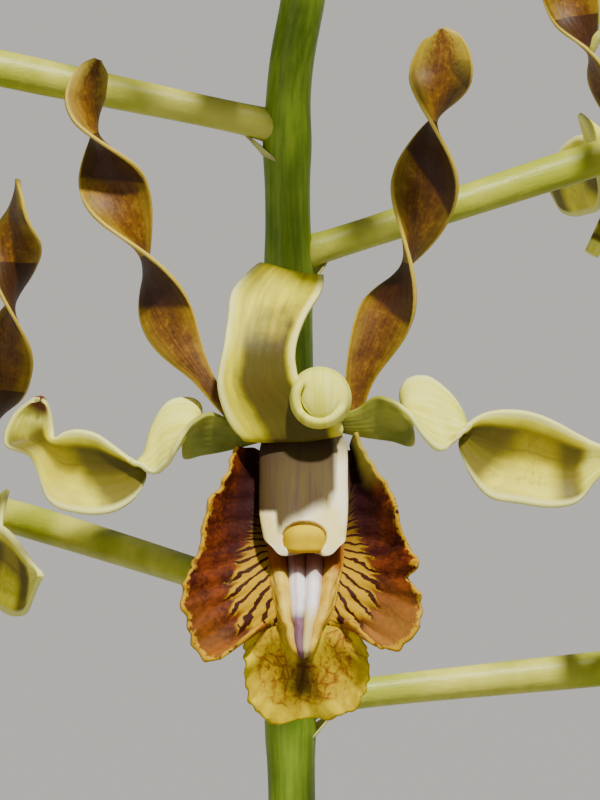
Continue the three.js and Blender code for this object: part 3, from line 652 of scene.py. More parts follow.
def sepal_finish():
    """Folded sepals: green at the root, cream on the turned face, then olive above and yellow below; the
    olive is partly the lobe's own colour and partly painted shade under its curled rim, and the lobe's ends
    get painted shade.
    """
    f, s, t, edge, clouds, fine = sepal_skin("pale_sepal", 0.2, (230, 226, 66), (253, 250, 118))
    wander = (clouds - 0.5) * 0.26
    yellow = f.blend(f.ramp(clouds, 0.34, 0.66), (212, 196, 0), (246, 236, 30))
    lobe = f.ramp(t, 0.49, 0.54) * f.fall(t + wander * 0.2, 0.84, 0.89)
    f.skin = f.blend(lobe * 0.85, f.skin, yellow)
    # painted shade: the olive band under the curled upper margin, partly the lobe's own olive
    band = f.ramp(s, 0.1, 0.2) * f.fall(s + wander * 0.8, 0.4, 0.62) * lobe
    olive = f.blend(f.ramp(t + wander * 0.3, 0.66, 0.75), (98, 86, 12), (138, 122, 14))
    f.skin = f.blend(band * 0.85, f.skin, olive)
    # painted shade at both ends of the lobe
    ends = f.fall(t + (s - 0.5) * 0.08 + wander * 0.1, 0.67, 0.72) + f.ramp(t + wander * 0.1, 0.78, 0.82)
    f.paint((ends * lobe * f.ramp(s, 0.14, 0.24)).clamped() * 0.9, 90, 80, 10)
    vein = f.fall((s - 0.42 + wander * 0.3).size(), 0.004, 0.03)
    f.paint(vein * lobe * 0.3, 84, 66, 18)
    brown = f.ramp(clouds * 0.6 + fine * 0.4, 0.5, 0.62) * lobe * f.fall(edge, 0.5, 0.8)
    f.paint(brown * 0.35, 128, 92, 26)
    green = f.blend(f.ramp(clouds, 0.35, 0.65), (98, 108, 26), (148, 152, 58))
    f.skin = f.blend(f.fall(t, 0.17, 0.21) * 0.9, f.skin, green)
    f.paint(f.shade() * f.ramp(clouds + fine * 0.3, 0.4, 0.65), 104, 52, 14)
    f.paint(f.ramp(edge, 0.8, 0.93) * f.ramp(t, 0.12, 0.25) * 0.85, 253, 250, 150)
    return f.done()


def lip_finish():
    """Lobes of the lip: q runs out from the keels, and the shade value turns about the column's tip."""
    f = fleshy("lip_lobes", 0.6, 0.06, (1.0, 0.5, 0.2))
    f.set(specular_ior_level=0.12)
    q, t = f.uv()
    fan = f.shade()
    clouds = f.clouds(620.0, 3.0, 0.6)
    fine = f.clouds(2600.0, 3.0, 0.65)
    rough = fine - 0.5
    away = (t - 0.5).size()
    wander = (clouds - 0.5) * 0.16
    rays = ((fan + wander) * 6.6 * TURN).wave()
    forks = ((fan + wander * 1.7) * 13.2 * TURN).wave()

    f.skin = f.blend(f.ramp(clouds * 0.7 + fine * 0.5, 0.46, 0.76), (60, 18, 6), (118, 52, 12))
    f.paint((forks ** 5) * 0.35, 50, 14, 8)
    # golden-brown on the lower lobes: partly their own colour, partly painted light
    lower = f.fall(away, 0.2, 0.36)
    f.paint(lower * f.ramp(q + rough * 0.3, 0.4, 0.95) * 0.8, 164, 104, 30)
    # painted light: a paler patch on the right lower lobe
    right_light = f.ramp(t, 0.5, 0.52) * f.fall(away, 0.28, 0.34) * f.ramp(q, 0.3, 0.6)
    f.paint(right_light * 0.27, 190, 140, 64)
    lines = f.ramp(rays + (forks - 0.5) * q * 0.9, 0.16, 0.32)
    inner = f.blend(lines, (56, 20, 6), (188, 146, 4))
    high = f.ramp(away, 0.33, 0.43)
    depth = q + (rays - 0.5) * 0.14 + rough * 0.16 - (high * -0.3 + 0.47)
    f.skin = f.blend(f.ramp(depth, -0.07, 0.07), inner, f.skin)
    border = f.ramp(q + rough * 0.2 + (clouds - 0.5) * 0.1 + lower * 0.03, 0.95, 1.0)
    f.paint(border, 192, 148, 20)
    # painted shade: the near-black upper parts of the lobes beside the column
    f.paint(high * f.fall(q, 0.45, 0.9) * 0.9, 46, 20, 24)
    f.paint(f.ramp(t, 0.935, 0.97) * f.ramp(q + rough * 0.2, 0.35, 0.6) * 0.85, 158, 146, 52)
    side = f.skin

    f.skin = f.blend(f.ramp(clouds + fine * 0.2, 0.4, 0.75), (180, 150, 4), (216, 192, 12))
    zone = f.ramp(q, 0.0, 0.15) * f.fall(q + (clouds - 0.5) * 0.5, 0.66, 0.86)
    f.paint(f.ramp(clouds * 0.8 + fine * 0.3, 0.46, 0.66) * zone * 0.62, 160, 92, 30)
    net = f.fall(f.cells(1100.0, "DISTANCE_TO_EDGE") + rough * 0.1, 0.02, 0.14)
    f.paint(net * zone * f.ramp(clouds, 0.36, 0.56) * 0.6, 112, 44, 16)
    f.paint((forks ** 4) * zone * f.ramp(fine, 0.4, 0.6) * 0.7, 122, 58, 22)
    heart = f.fall(away + rough * 0.04, 0.008, 0.042) * f.fall(q, 0.45, 0.85)
    f.paint(heart * 0.85, 62, 30, 14)
    f.skin = f.blend(f.fall(away, 0.163, 0.178), side, f.skin)
    f.set(roughness=clouds * 0.2 + 0.55)
    f.bump(fine * 0.7 + forks * 0.25, 0.4, 0.12)
    return f.done()


def keel_finish():
    """The lip's middle band: s runs across its keels, t down to the midlobe."""
    f = fleshy("lip_keels", 0.55, 0.25, (1.0, 0.8, 0.7))
    s, t = f.uv()
    clouds = f.clouds(900.0)
    fine = f.clouds(3000.0, 2.0, 0.6)
    wander = (f.streaks(s * 2, t * 7, 2.0) - 0.5) * 0.14
    crest = ((s + wander * 0.3) * (TURN * KEELS) - math.pi / 2).wave()
    across = (s - 0.5 + wander * 0.3).size()
    half = f.ramp(t, 0.5, 0.8) * 0.07 + 0.26
    inside = f.fall(across - half, -0.02, 0.03)
    thin = ((s + wander * 0.5) * (TURN * 9)).wave()
    white = f.blend((thin ** 6) * 0.45, (255, 250, 244), (150, 84, 128))
    f.skin = f.blend(f.ramp(crest + (fine - 0.5) * 0.2, 0.02, 0.2), (110, 44, 88), white)
    low = f.ramp(t + (clouds - 0.5) * 0.2 + wander * 0.5, 0.44, 0.62)
    f.paint(low * f.ramp(s, 0.46, 0.6) * 0.85, 226, 200, 90)
    f.paint(low * f.fall((s - 0.36 + wander).size(), 0.1, 0.22) * 0.9, 104, 46, 78)
    white = f.skin
    f.skin = f.blend(f.ramp(clouds, 0.35, 0.65), (208, 166, 30), (236, 204, 76))
    marks = ((t * 9 + across * 14 + wander * 6) * TURN).wave()
    f.paint((marks ** 5) * f.ramp(across, 0.36, 0.46) * 0.8, 84, 36, 18)
    f.skin = f.blend(inside, f.skin, white)
    f.paint(f.ramp(t + (clouds - 0.5) * 0.1, 0.84, 0.95) * 0.9, 112, 62, 8)
    # painted shadow: orange-brown under the column's tip and cap
    f.paint(f.fall(t + (clouds - 0.5) * 0.06, 0.29, 0.37) * 0.9, 130, 56, 14)
    # painted shade: near-black at the band's root, in the recess under the column
    f.paint(f.fall(t, 0.2, 0.26) * 0.9, 44, 18, 20)
    f.bump(clouds * 0.5 + crest * 0.3, 0.25, 0.1)
    return f.done()


def column_finish():
    """Pale, with a painted shadow on its upper part, partly its own brown tinge, that leaves the right side
    and the corners free, and painted shade on its left side and at its root.
    """
    f = fleshy("white_column", 0.65, 0.12, (1.0, 0.85, 0.7))
    s, t = f.uv()
    clouds = f.clouds(420.0)
    wander = (clouds - 0.5) * 0.1
    streaks = f.streaks(s * 46, t * 3, 3.0)
    # painted shadow of the dorsal sepal on the upper part, partly the column's brown tinge; the right side
    # and the corners stay free
    lean = (s - 0.222) * 0.95
    top = f.fall(t + wander + (streaks - 0.5) * 0.07 - lean, 0.49, 0.6) * f.ramp(s, 0.1, 0.14)
    top = top * (1 - f.ramp(s, 0.345, 0.368) * f.ramp(t, 0.52, 0.56))
    f.skin = f.blend(f.ramp(clouds, 0.3, 0.7), (244, 224, 140), (254, 246, 206))
    f.paint(top, 82, 65, 6)
    f.paint(top * f.ramp(streaks, 0.45, 0.7) * 0.6, 62, 36, 24)
    # painted shade on the left of the shadowed part
    f.paint(top * f.ramp(s + wander, 0.28, 0.44) * 0.6, 54, 32, 16)
    # painted shade at the root, under the dorsal sepal
    f.paint(f.fall(t + wander, 0.1, 0.34) * 0.7, 52, 26, 20)
    f.bump(f.clouds(3200.0) * 0.4 + streaks * 0.5, 0.2, 0.1)
    return f.done()


def cap_finish():
    """The cap darkens to orange at its foot, which the shade value marks."""
    f = Finish("anther_cap", 0.55, specular_ior_level=0.04)
    f.skin = f.blend(f.ramp(f.clouds(900.0, 2.0), 0.3, 0.7), (214, 176, 0), (230, 198, 0))
    f.paint(f.shade() * 0.6, 176, 104, 10)
    f.bump(f.clouds(4200.0), 0.25, 0.08)
    return f.done()


def stem_finish():
    """Green for the stem, paler where the shade value marks a stalk."""
    f = fleshy("green_stem", 0.4, 0.12, (0.7, 1.0, 0.3), 0.002)
    s, t = f.uv()
    clouds = f.clouds(160.0, 4.0, 0.55)
    streaks = f.streaks(s * 30, t * 60, 3.0, 0.55)
    green = f.blend(f.ramp(clouds * 0.6 + streaks * 0.4, 0.35, 0.65), (92, 122, 14), (142, 168, 40))
    cream = f.blend(f.ramp(clouds, 0.35, 0.7), (168, 176, 44), (218, 214, 90))
    f.skin = f.blend(f.shade(), green, cream)
    f.bump(streaks + f.cells(2600.0) * 0.2, 0.25, 0.15)
    return f.done()


def bud_finish():
    f = fleshy("bud_skin", 0.42, 0.25, (0.9, 0.9, 0.4))
    s, t = f.uv()
    clouds = f.clouds(380.0)
    f.skin = f.blend(f.ramp(clouds, 0.35, 0.7), (170, 176, 84), (208, 204, 122))
    f.paint(f.ramp(t, 0.6, 1.0) * 0.35, 150, 104, 52)
    f.bump((s * (TURN * 9)).wave() * 0.5 + clouds, 0.3, 0.15)
    return f.done()


def leaf_finish():
    f = Finish("leaf_green", coat_weight=0.15, coat_roughness=0.25, subsurface_weight=0.08)
    f.set(subsurface_radius=(0.5, 1.0, 0.2), subsurface_scale=0.002)
    s, t = f.uv()
    clouds = f.clouds(60.0, 4.0, 0.55)
    spots = f.clouds(420.0, 3.0, 0.6)
    ribs = f.streaks(s * 46, t * 1.6, 2.0)
    f.skin = f.blend(f.ramp(clouds, 0.3, 0.7), (44, 78, 28), (82, 118, 46))
    f.paint(f.ramp(ribs, 0.45, 0.7) * 0.35, 104, 134, 62)
    f.paint(f.ramp(spots, 0.66, 0.8) * 0.35, 132, 138, 66)
    f.paint(f.fall((s * 2 - 1).size(), 0.015, 0.06) * 0.6, 136, 158, 84)
    f.paint(f.ramp(t, 0.93, 1.0) * f.ramp(clouds, 0.4, 0.7) * 0.7, 140, 110, 56)
    f.set(roughness=spots * 0.2 + 0.26)
    f.bump(ribs * 0.8 + spots * 0.3, 0.35, 0.35)
    return f.done()


def cane_finish():
    """Green canes under papery skin, with darker rings where the shade value marks a joint."""
    f = Finish("cane_skin", subsurface_weight=0.05, subsurface_scale=0.002)
    s, t = f.uv()
    clouds = f.clouds(70.0, 4.0, 0.6)
    fibres = f.streaks(s * 70, t * 9, 4.0, 0.6)
    papery = f.ramp(clouds * 0.6 + fibres * 0.5 - t * 0.35, 0.3, 0.52)
    green = f.blend(f.ramp(clouds, 0.3, 0.7), (98, 116, 44), (148, 150, 74))
    paper = f.blend(f.ramp(fibres, 0.35, 0.7), (134, 116, 80), (196, 184, 150))
    f.skin = f.blend(papery, green, paper)
    f.paint(f.shade() * 0.75, 92, 70, 42)
    f.set(roughness=papery * 0.3 + 0.4)
    f.bump(fibres + clouds * 0.4, 0.5, 0.3)
    return f.done()


def bark_finish():
    f = Finish("bark_chip")
    spots = f.clouds(900.0, 5.0, 0.65)
    layers = f.clouds(210.0, 5.0, 0.6, 1.2)
    f.skin = f.blend(f.shade(), (58, 36, 22), (140, 94, 58))
    f.paint(f.ramp(layers, 0.35, 0.7), 112, 76, 46)
    f.paint(f.ramp(spots, 0.55, 0.8) * 0.5, 34, 22, 15)
    f.set(roughness=spots * 0.2 + 0.75)
    f.bump(layers + spots * 0.5, 0.7, 0.9)
    return f.done()


def terracotta_finish():
    """Fired clay with rings from turning, pale bloom and a darker foot."""
    f = Finish("terracotta")
    grain = f.clouds(1500.0, 4.0, 0.6)
    clouds = f.clouds(28.0, 5.0, 0.6)
    z = f.split(f.place())[2]
    rings = f.streaks(0.0, 0.0, 3.0, 0.55, z * 520)
    f.skin = f.blend(f.ramp(clouds, 0.3, 0.72), (168, 92, 58), (198, 122, 84))
    f.paint(f.ramp(grain, 0.62, 0.78) * 0.4, 222, 170, 132)
    f.paint(f.ramp(clouds + rings * 0.35, 0.72, 0.95) * 0.45, 224, 204, 184)
    # darker towards the foot
    f.paint(f.fall(z + (clouds - 0.5) * 0.03, 0.004, 0.034) * 0.35, 112, 62, 40)
    f.set(roughness=grain * 0.15 + 0.76)
    f.bump(grain * 0.5 + rings * 0.8, 0.35, 0.4)
    return f.done()


PETAL = petal_finish()
SEPAL = sepal_finish()
HOOD = dorsal_finish()
LIP = lip_finish()
KEEL = keel_finish()
COLUMN = column_finish()
CAP = cap_finish()
STEM = stem_finish()
BUD = bud_finish()
LEAF = leaf_finish()
CANE = cane_finish()
BARK = bark_finish()
CLAY = terracotta_finish()


def blade_place(rows, cup, wave, seed, flat=False):
    """Where the points of a twisted blade lie: s runs across it and t along it."""

    @once_a_row
    def frame_at(t):
        row = along(rows, t)
        tangent = tangent_at(rows, t)
        front, side = upright(1), Vector((1, 0, 0))
        if flat:
            front = side.cross(tangent).normalized()
        else:
            front = (front - tangent * tangent.z).normalized()
            side = front.cross(tangent)
        turn = math.radians(row[4])
        out = side * math.cos(turn) + front * math.sin(turn)
        return Vector(row[:3]), out, out.cross(tangent), row[3]

    def place(s, t):
        centre, out, face, width = frame_at(t)
        x = 2 * s - 1
        lift = cup * width * (x * x - 0.33)
        edge = 1 + 0.03 * wave * noise.noise((t * 14, seed + (7 if x > 0 else 0), 1.7)) * abs(x) ** 4
        return centre + out * (x * width / 2 * edge) + face * (lift + ruffle(x, t, wave, seed))

    return place


def ruffle(x, t, wave, seed):
    return noise.noise((x * 1.5 + seed, t * 11, seed * 3.1)) * abs(x) ** 3 * wave * 0.5


def folded_place(rows, cup, hand, wave, seed):
    """Where the points of a blade lie that its two margins give; from its neck on it is hollow."""

    @once_a_row
    def frame_at(t):
        row = along(rows, t)
        before, after = neighbours(rows, t)
        onward = Vector([(c + d - a - b) / 2 for a, b, c, d in zip(
            before[:3], before[3:], after[:3], after[3:])])
        over = Vector(row[3:]) - Vector(row[:3])
        return Vector(row[:3]), over, onward.cross(over).normalized() * hand

    def place(s, t):
        first, over, back = frame_at(t)
        x = 2 * s - 1
        depth = cup * over.length * smooth(0.36, 0.52, t) * (1 - x * x)
        rim = 0.2 * smooth(0.8, 1, abs(x)) * smooth(0.4, 0.5, t) * (1 - smooth(0.9, 1, t))
        return first + over * s + back * (depth + ruffle(x, t, wave, seed) + rim)

    return place


def scroll_place(s, t):
    """A rolled corner seen end on: a domed tongue lies in a cup whose rim turns over."""
    x, y = math.cos(s * TURN), math.sin(s * TURN)
    open_ = smooth(-0.35, 0.35, -y - 0.55 * x + 0.1)
    r = SCROLL_RADIUS * t
    dome = 0.55 * (1 - (r / 1.7) ** 2)
    slit = 0.1 + 0.1 * smooth(0.2, 0.9, -x)
    groove = (0.6 + 1.1 * smooth(0.1, 0.9, -x)) * open_ * math.exp(-(((r - 1.32) / slit) ** 2))
    rim = 0.35 * open_ * math.exp(-(((r - 1.72) / 0.22) ** 2))
    back = 1.1 * smooth(1.72, 2.1, r) ** 1.5
    return SCROLL_CENTRE + Vector((r * x, r * y, dome - groove + rim - back - 0.35))


def scroll(bm):
    """The rolled corner, with a plain part of the pattern laid over it, so that no pole shows."""
    verts = welded(bm, sheet(bm, 72, 40, scroll_place, 1))
    pattern = bm.loops.layers.uv.active
    thick = bm.verts.layers.deform.verify()
    for vert in verts:
        away = (vert.co - SCROLL_CENTRE) / SCROLL_RADIUS
        for loop in vert.link_loops:
            loop[pattern].uv = (0.5 + 0.3 * away.x, 0.34 + 0.07 * away.y)
        vert[thick][0] = 0.6


def mark_shaded_turns(bm, verts, rows, lean):
    """Marks the part of each turn of a petal that faces down, which is painted dark brown: partly the
    petal's own colour, partly painted shade.

    lean says how far it reaches down one side, on the lower turn and on the upper one.
    """
    pattern = bm.loops.layers.uv.active

    def shade(vert):
        t = vert.link_loops[0][pattern].uv.y
        row = along(rows, t)
        turned = ((90 - row[4]) % 180) / 180
        upper = 1 - smooth(-100, -80, row[4])
        beside = (vert.co.x - row[0]) / 4.5
        reach = turned - 0.06 * (1 - upper) + (lean[0] + (lean[1] - lean[0]) * upper) * beside
        return smooth(0.47, 0.69, reach) * (1 - smooth(0.8, 0.86, t))

    mark(bm, verts, shade)


def petal(name, node, where, rows, lean, grid, cup, wave, seed):
    bm = new_mesh()
    verts = sheet(bm, *grid, blade_place(rows, cup, wave, seed))
    mark_shaded_turns(bm, verts, rows, lean)
    finished(bm, name, (PETAL,), node, where, PETAL_THICKNESS)


def lip_lobes_place(seed):
    def place(q, t):
        ray = along(LIP_RAYS, t)
        root, edge = Vector(ray[:3]), Vector(ray[3:])
        p = root.lerp(edge, q)
        out = (edge - root).normalized()
        middle = 1 - smooth(0.15, 0.19, abs(t - 0.5))
        folds = noise.noise((t * 34, seed, 0.3))
        frill = noise.noise((t * 105, seed, 5.3))
        crimp = folds * (0.55 - 0.4 * middle) + frill * (0.4 - 0.1 * middle)
        crimp -= 0.9 * math.exp(-((t - 0.838) / 0.012) ** 2)
        p += out * ((crimp - 0.12 * middle) * q ** 5)
        rise = noise.noise((t * 40, seed + 9, 4.2)) * 0.8 + noise.noise((t * 96, seed + 9, 1.2)) * 0.35
        p.z += -0.7 * math.sin(math.pi * q) + rise * q ** 4
        puckers = math.sin(abs(t - 0.5) * 60) * 0.3 * middle + 0.1 * math.sin(t * 260) * (1 - middle)
        p.z += puckers * math.sin(math.pi * q)
        return p

    return place


def lip_band_place(s, t):
    left, right = along(LIP_RAYS, t / 2)[:3], along(LIP_RAYS, 1 - t / 2)[:3]
    p = Vector(left).lerp(Vector(right), s)
    rise = math.sin(min(1, t * 13 / 6) * math.pi / 2) * (1 - smooth(0.86, 1, t))
    p.z += 0.85 * rise * (0.5 - 0.5 * math.cos(s * TURN * KEELS)) ** 0.8
    return p


def lip(name, node, where, fine=1.0, seed=0):
    """Both lobes as one sheet round the keels, which are a band between its two ends."""
    bm = new_mesh()
    long = int(150 * fine) * 2
    verts = sheet(bm, int(30 * fine) + 2, long, lip_lobes_place(seed))
    mark(bm, verts, lambda vert: math.atan2(vert.co.x - 0.3, -vert.co.y - 8.2))
    sheet(bm, int(34 * fine), long // 2, lip_band_place, 1)
    bmesh.ops.remove_doubles(bm, verts=bm.verts, dist=WELD)
    finished(bm, name, (LIP, KEEL), node, where, LIP_THICKNESS)


def column_shape(bm, around, steps):
    """The pale plate over the lip, with a corner on each side of the seat of its cap."""
    seat = [radius + 0.12 for radius in ANTHER_RADII]

    def place(s, t):
        angle = s * TURN
        x = math.cos(angle)
        bow = math.copysign(abs(math.sin(angle)) ** 0.8, math.sin(angle))
        up, forward, wide, thick = along(COLUMN_ROWS, t / CORNERS_FROM)
        u = max(0, t - CORNERS_FROM) / (1 - CORNERS_FROM)
        beside = abs(wide * x)
        low = 1.3 - 0.75 * (1 - smooth(1.3, 1.7, beside)) - 0.7 * smooth(2.0, 3.0, beside) ** 1.7
        p = Vector((COLUMN_MIDDLE + wide * x, up, forward))
        p.y -= low * math.sin(u * math.pi / 2)
        p.x = COLUMN_MIDDLE + (p.x - COLUMN_MIDDLE) * (1 - 0.24 * u ** 2.2)
        p.z += 0.9 * u
        if x < 0:
            p.x = COLUMN_MIDDLE + (p.x - COLUMN_MIDDLE) * (1 - 0.13 * smooth(0.5, 1, t))
        thick *= 0.12 + 0.88 * math.sqrt(1 - min(1, u) ** 2.5)
        crease = 0.22 * math.exp(-(x * 3.2) ** 2) * smooth(0.2, 0.6, t)
        p.z += thick * bow * (1 - crease)
        away = p - ANTHER_CENTRE
        inside = 1 - (away.x / seat[0]) ** 2 - (away.y / seat[1]) ** 2
        if inside > 0 and bow > 0:
            p.z -= 1.2 * smooth(0, 0.25, inside)
        return p

    closed(bm, sheet(bm, around, steps, place), 0)


def anther_cap(bm, around, high, material):
    """A helmet: rounded above, cut off flat below, with a shallow furrow down its front."""
    value = bm.verts.layers.float["shade"]
    for vert in ball(bm, (0, 0, 0), (1, 1, 1), around, high, material):
        x, y, z = vert.co
        turned = Vector((x, -z, y))
        flat = 7 if turned.y < 0 else 2.3
        wide = (1 - min(1, abs(turned.y)) ** flat) ** (1 / flat)
        round_ = math.hypot(turned.x, turned.z) or 1
        shape = Vector((turned.x / round_ * wide, turned.y * 0.98, turned.z / round_ * wide))
        furrow = 0.1 * math.exp(-(shape.x * 4) ** 2) * max(0, shape.z)
        shape = Vector((shape.x, shape.y * 0.95 - 0.1, shape.z - furrow))
        vert.co = ANTHER_CENTRE + shape * Vector(ANTHER_RADII)
        vert[value] = smooth(0.55, 0.95, -turned.y)


def raise_base(bm, verts):
    """Draws up the foot of the dorsal sepal, more so at its corners."""
    pattern = bm.loops.layers.uv.active
    for vert in verts:
        s, t = vert.link_loops[0][pattern].uv
        x = 2 * s - 1
        fade = 1 - smooth(0, 0.2, t)
        vert.co.y += (0.35 + 0.5 * abs(x) ** 3 + 0.6 * smooth(0, 0.9, x)) * fade
        vert.co.x -= 0.7 * smooth(0.3, 1, x) * fade


def main_bloom():
    """The flower of the photograph, each part a piece of its own."""
    where = bloom_frame(*MAIN_BLOOM[1:])
    bm = new_mesh()
    raise_base(bm, sheet(bm, 32, 160, blade_place(SEPAL_TOP, 0.06, 0.25, 3, flat=True)))
    scroll(bm)
    finished(bm, "dorsal_sepal", (HOOD, SEPAL), "main_dorsal_sepal", where, SEPAL_THICKNESS)
    for side, rows, hand in SIDE_SEPALS:
        bm = new_mesh()
        verts = sheet(bm, 30, 240, folded_place(rows, 0.2, hand, 0.3, hand + 5))
        end = Vector(rows[-1][:3])
        mark(bm, verts, lambda vert: 1 - smooth(0.7, 2.0, (vert.co - end).length))
        node = f"main_lateral_sepal_{side}"
        finished(bm, f"sepal_{side}", (SEPAL,), node, where, SEPAL_THICKNESS)
    for side, rows, lean in PETALS:
        seed = 6 + len(side)
        petal(f"petal_{side}", f"main_petal_{side}", where, rows, lean, (24, 260), 0.08, 0.3, seed)
    lip("lip", "main_lip", where)
    bm = new_mesh()
    column_shape(bm, 120, 110)
    ball(bm, HUB_CENTRE, HUB_RADII, 32, 20, 1)
    tube(bm, SPUR_ROWS, 20, 12, 1)
    finished(bm, "column", (COLUMN, SEPAL), "main_column", where)
    bm = new_mesh()
    anther_cap(bm, 44, 30, 0)
    finished(bm, "anther_cap", (CAP,), "main_anther_cap", where)


def other_bloom(number, row):
    """The same flower with fewer points, its sepals one piece and its column and cap another."""
    where = bloom_frame(*row[1:])
    name = f"bloom_{number}"
    sepals = f"{name}_sepals"
    seed = number * 2.7
    bm = new_mesh()
    sheet(bm, 12, 60, blade_place(SEPAL_TOP, 0.05, 0.35, seed, flat=True))
    for i, (_, rows, hand) in enumerate(SIDE_SEPALS, 1):
        sheet(bm, 12, 96, folded_place(rows, 0.12, hand, 0.35, seed + i))
    finished(bm, f"{name}_tepals", (SEPAL,), sepals, where, SEPAL_THICKNESS)
    bm = new_mesh()
    column_shape(bm, 24, 20)
    ball(bm, OTHER_HUB_CENTRE, OTHER_HUB_RADII, 18, 12, 2)
    tube(bm, SPUR_ROWS, 12, 6, 2)
    anther_cap(bm, 16, 12, 1)
    finished(bm, f"{name}_column", (COLUMN, CAP, SEPAL), sepals, where)
    for side, rows, _ in PETALS:
        node = f"{name}_petal_{side}"
        seed_here = seed + len(side)
        petal(f"{name}_twist_{side}", node, where, rows, OTHER_LEAN, (10, 110), 0.04, 0.35, seed_here)
    lip(f"{name}_labellum", f"{name}_lip", where, 0.42, seed)


def stem_point(z):
    """The stem's row at a height, found by halving."""
    low, high = 0.0, 1.0
    for _ in range(30):
        middle = (low + high) / 2
        if along(STEM_PATH, middle)[2] < z:
            low = middle
        else:
            high = middle
    return along(STEM_PATH, low)


def stalk(bm, node, where):
    """A stalk from the stem to the back of a bloom, ribbed near its end, with the bract at its foot."""
    start = Vector(stem_point(node)[:3])
    end = where @ OVARY_END
    neck = where @ (OVARY_END - upright(3))
    out = Vector((neck.x - start.x, neck.y - start.y, 0)).normalized()
    rows = (
        (*start, STALK_RADIUS * 1.35),
        (*(start + out * 5 + upright(1.2)), STALK_RADIUS * 1.1),
        (*neck, OVARY_RADIUS),
        (*end, OVARY_RADIUS * 0.75),
    )

    def ribbed(s, t):
        return 1 + 0.06 * smooth(0.5, 0.8, t) * math.cos(s * TURN * 3)

    tube(bm, rows, 20, 60, shape=ribbed, shade=1.0)
    bract(bm, start, out)


def bract(bm, start, out):
    """A small scale at the foot of a stalk."""
    side = out.cross(upright(1))
    foot = start + out * 1.5 + upright(-1.6)

    def place(s, t):
        wide = 1.5 * (1 - t) ** 0.7 + 0.1
        x = (2 * s - 1) * wide
        away = 1.3 * t + 0.35 * t * t - 0.3 * x * x
        return foot + out * away + side * x + upright(2.0 * t - 0.6)

    verts = sheet(bm, 6, 8, place, 1)
    bmesh.ops.solidify(bm, geom=list(faces_of(verts)), thickness=BRACT_THICKNESS)


def bud(bm, node, azimuth, length, size):
    """A short stalk with a bud that shows the seams of its three sepals."""
    a = math.radians(azimuth)
    start = Vector(stem_point(node)[:3])
    out = level(a)[0]
    tip = start + out * length + upright(length * 0.45)
    knee = start + out * (length * 0.5) + upright(length * 0.14)
    tube(bm, ((*start, 0.9), (*knee, 0.8), (*tip, 1.0)), 12, 14, shade=0.8)
    turned = Matrix.Rotation(a - math.pi / 2, 4, "Z") @ Matrix.Rotation(-0.5, 4, "X")
    centre = tip + upright(size * 0.45)
    verts = ball(bm, centre, (size * 0.42, size * 0.42, size), 24, 20, 1, turned)
    back = (Matrix.Translation(centre) @ turned).inverted()
    for vert in verts:
        local = back @ vert.co
        round_ = math.atan2(local.y, local.x)
        seam = 1 - 0.1 * max(0, math.cos(round_ * 3)) ** 6
        vert.co = centre + (vert.co - centre) * seam


def flower_stem():
    bm = new_mesh()
    nodes = [row[0] for row in (*OTHER_BLOOMS, MAIN_BLOOM, *BUDS)]

    def swollen(s, t):
        z = along(STEM_PATH, t)[2]
        knots = sum(math.exp(-((z - node + 1) / 2.2) ** 2) for node in nodes)
        return 1 + 0.1 * min(knots, 1.2) + 0.015 * math.sin(s * TURN * 6)

    tube(bm, STEM_PATH, 28, 300, shape=swollen)
    for row in (MAIN_BLOOM, *OTHER_BLOOMS):
        stalk(bm, row[0], bloom_frame(*row[1:]))
    for row in BUDS:
        bud(bm, *row)
    finished(bm, "flowering_stem", (STEM, BUD), "flower_stem")


def cane_row(foot, top, radius, t):
    """Middle and radius of a cane at t, from its end in the bark to its tip."""
    bottom = BARK_TOP - CANE_DEPTH
    lean = t ** 1.6
    x = foot[0] + (top[0] - foot[0]) * lean
    y = foot[1] + (top[1] - foot[1]) * lean
    z = bottom + (top[2] - bottom) * t
    return x, y, z, radius * (0.66 + 0.34 * math.sin(math.pi * min(1, t * 1.05)))


def leaf(bm, start, azimuth, length, width, lift, droop, seed):
    """A leaf folded along its midrib, rising out of the cane and arching over."""
    out, side = level(math.radians(azimuth))

    def onward(t):
        slope = math.radians(lift - droop * t)
        return slope, out * math.cos(slope) + upright(math.sin(slope))

    spine = [tuple(Vector(start[:3]))]
    for i in range(SPINE_STEPS):
        centre = Vector(spine[-1]) + onward(i / SPINE_STEPS)[1] * (length / SPINE_STEPS)
        spine.append(tuple(centre))

    def place(s, t):
        slope, ahead = onward(t)
        wide = max(1.0, width * math.sin(math.pi * (0.1 + 0.9 * t) ** 0.85))
        up = out * -math.sin(slope) + upright(math.cos(slope))
        x = 2 * s - 1
        notch = 2.2 * smooth(0.97, 1, t) * (1 - abs(x))
        fold = 0.13 * wide * abs(x) ** 1.25
        wave = 0.05 * wide * math.sin(t * 15 + seed + x) * abs(x) ** 2
        return Vector(along(spine, t)) + side * (x * wide / 2) + up * (fold + wave) - ahead * notch

    sheet(bm, 14, 40, place)


def seeded_numbers(seed):
    """The same draws as the part's source makes."""
    state = seed
    while True:
        state = (state * 1664525 + 1013904223) % 2 ** 32
        yield state / 2 ** 32


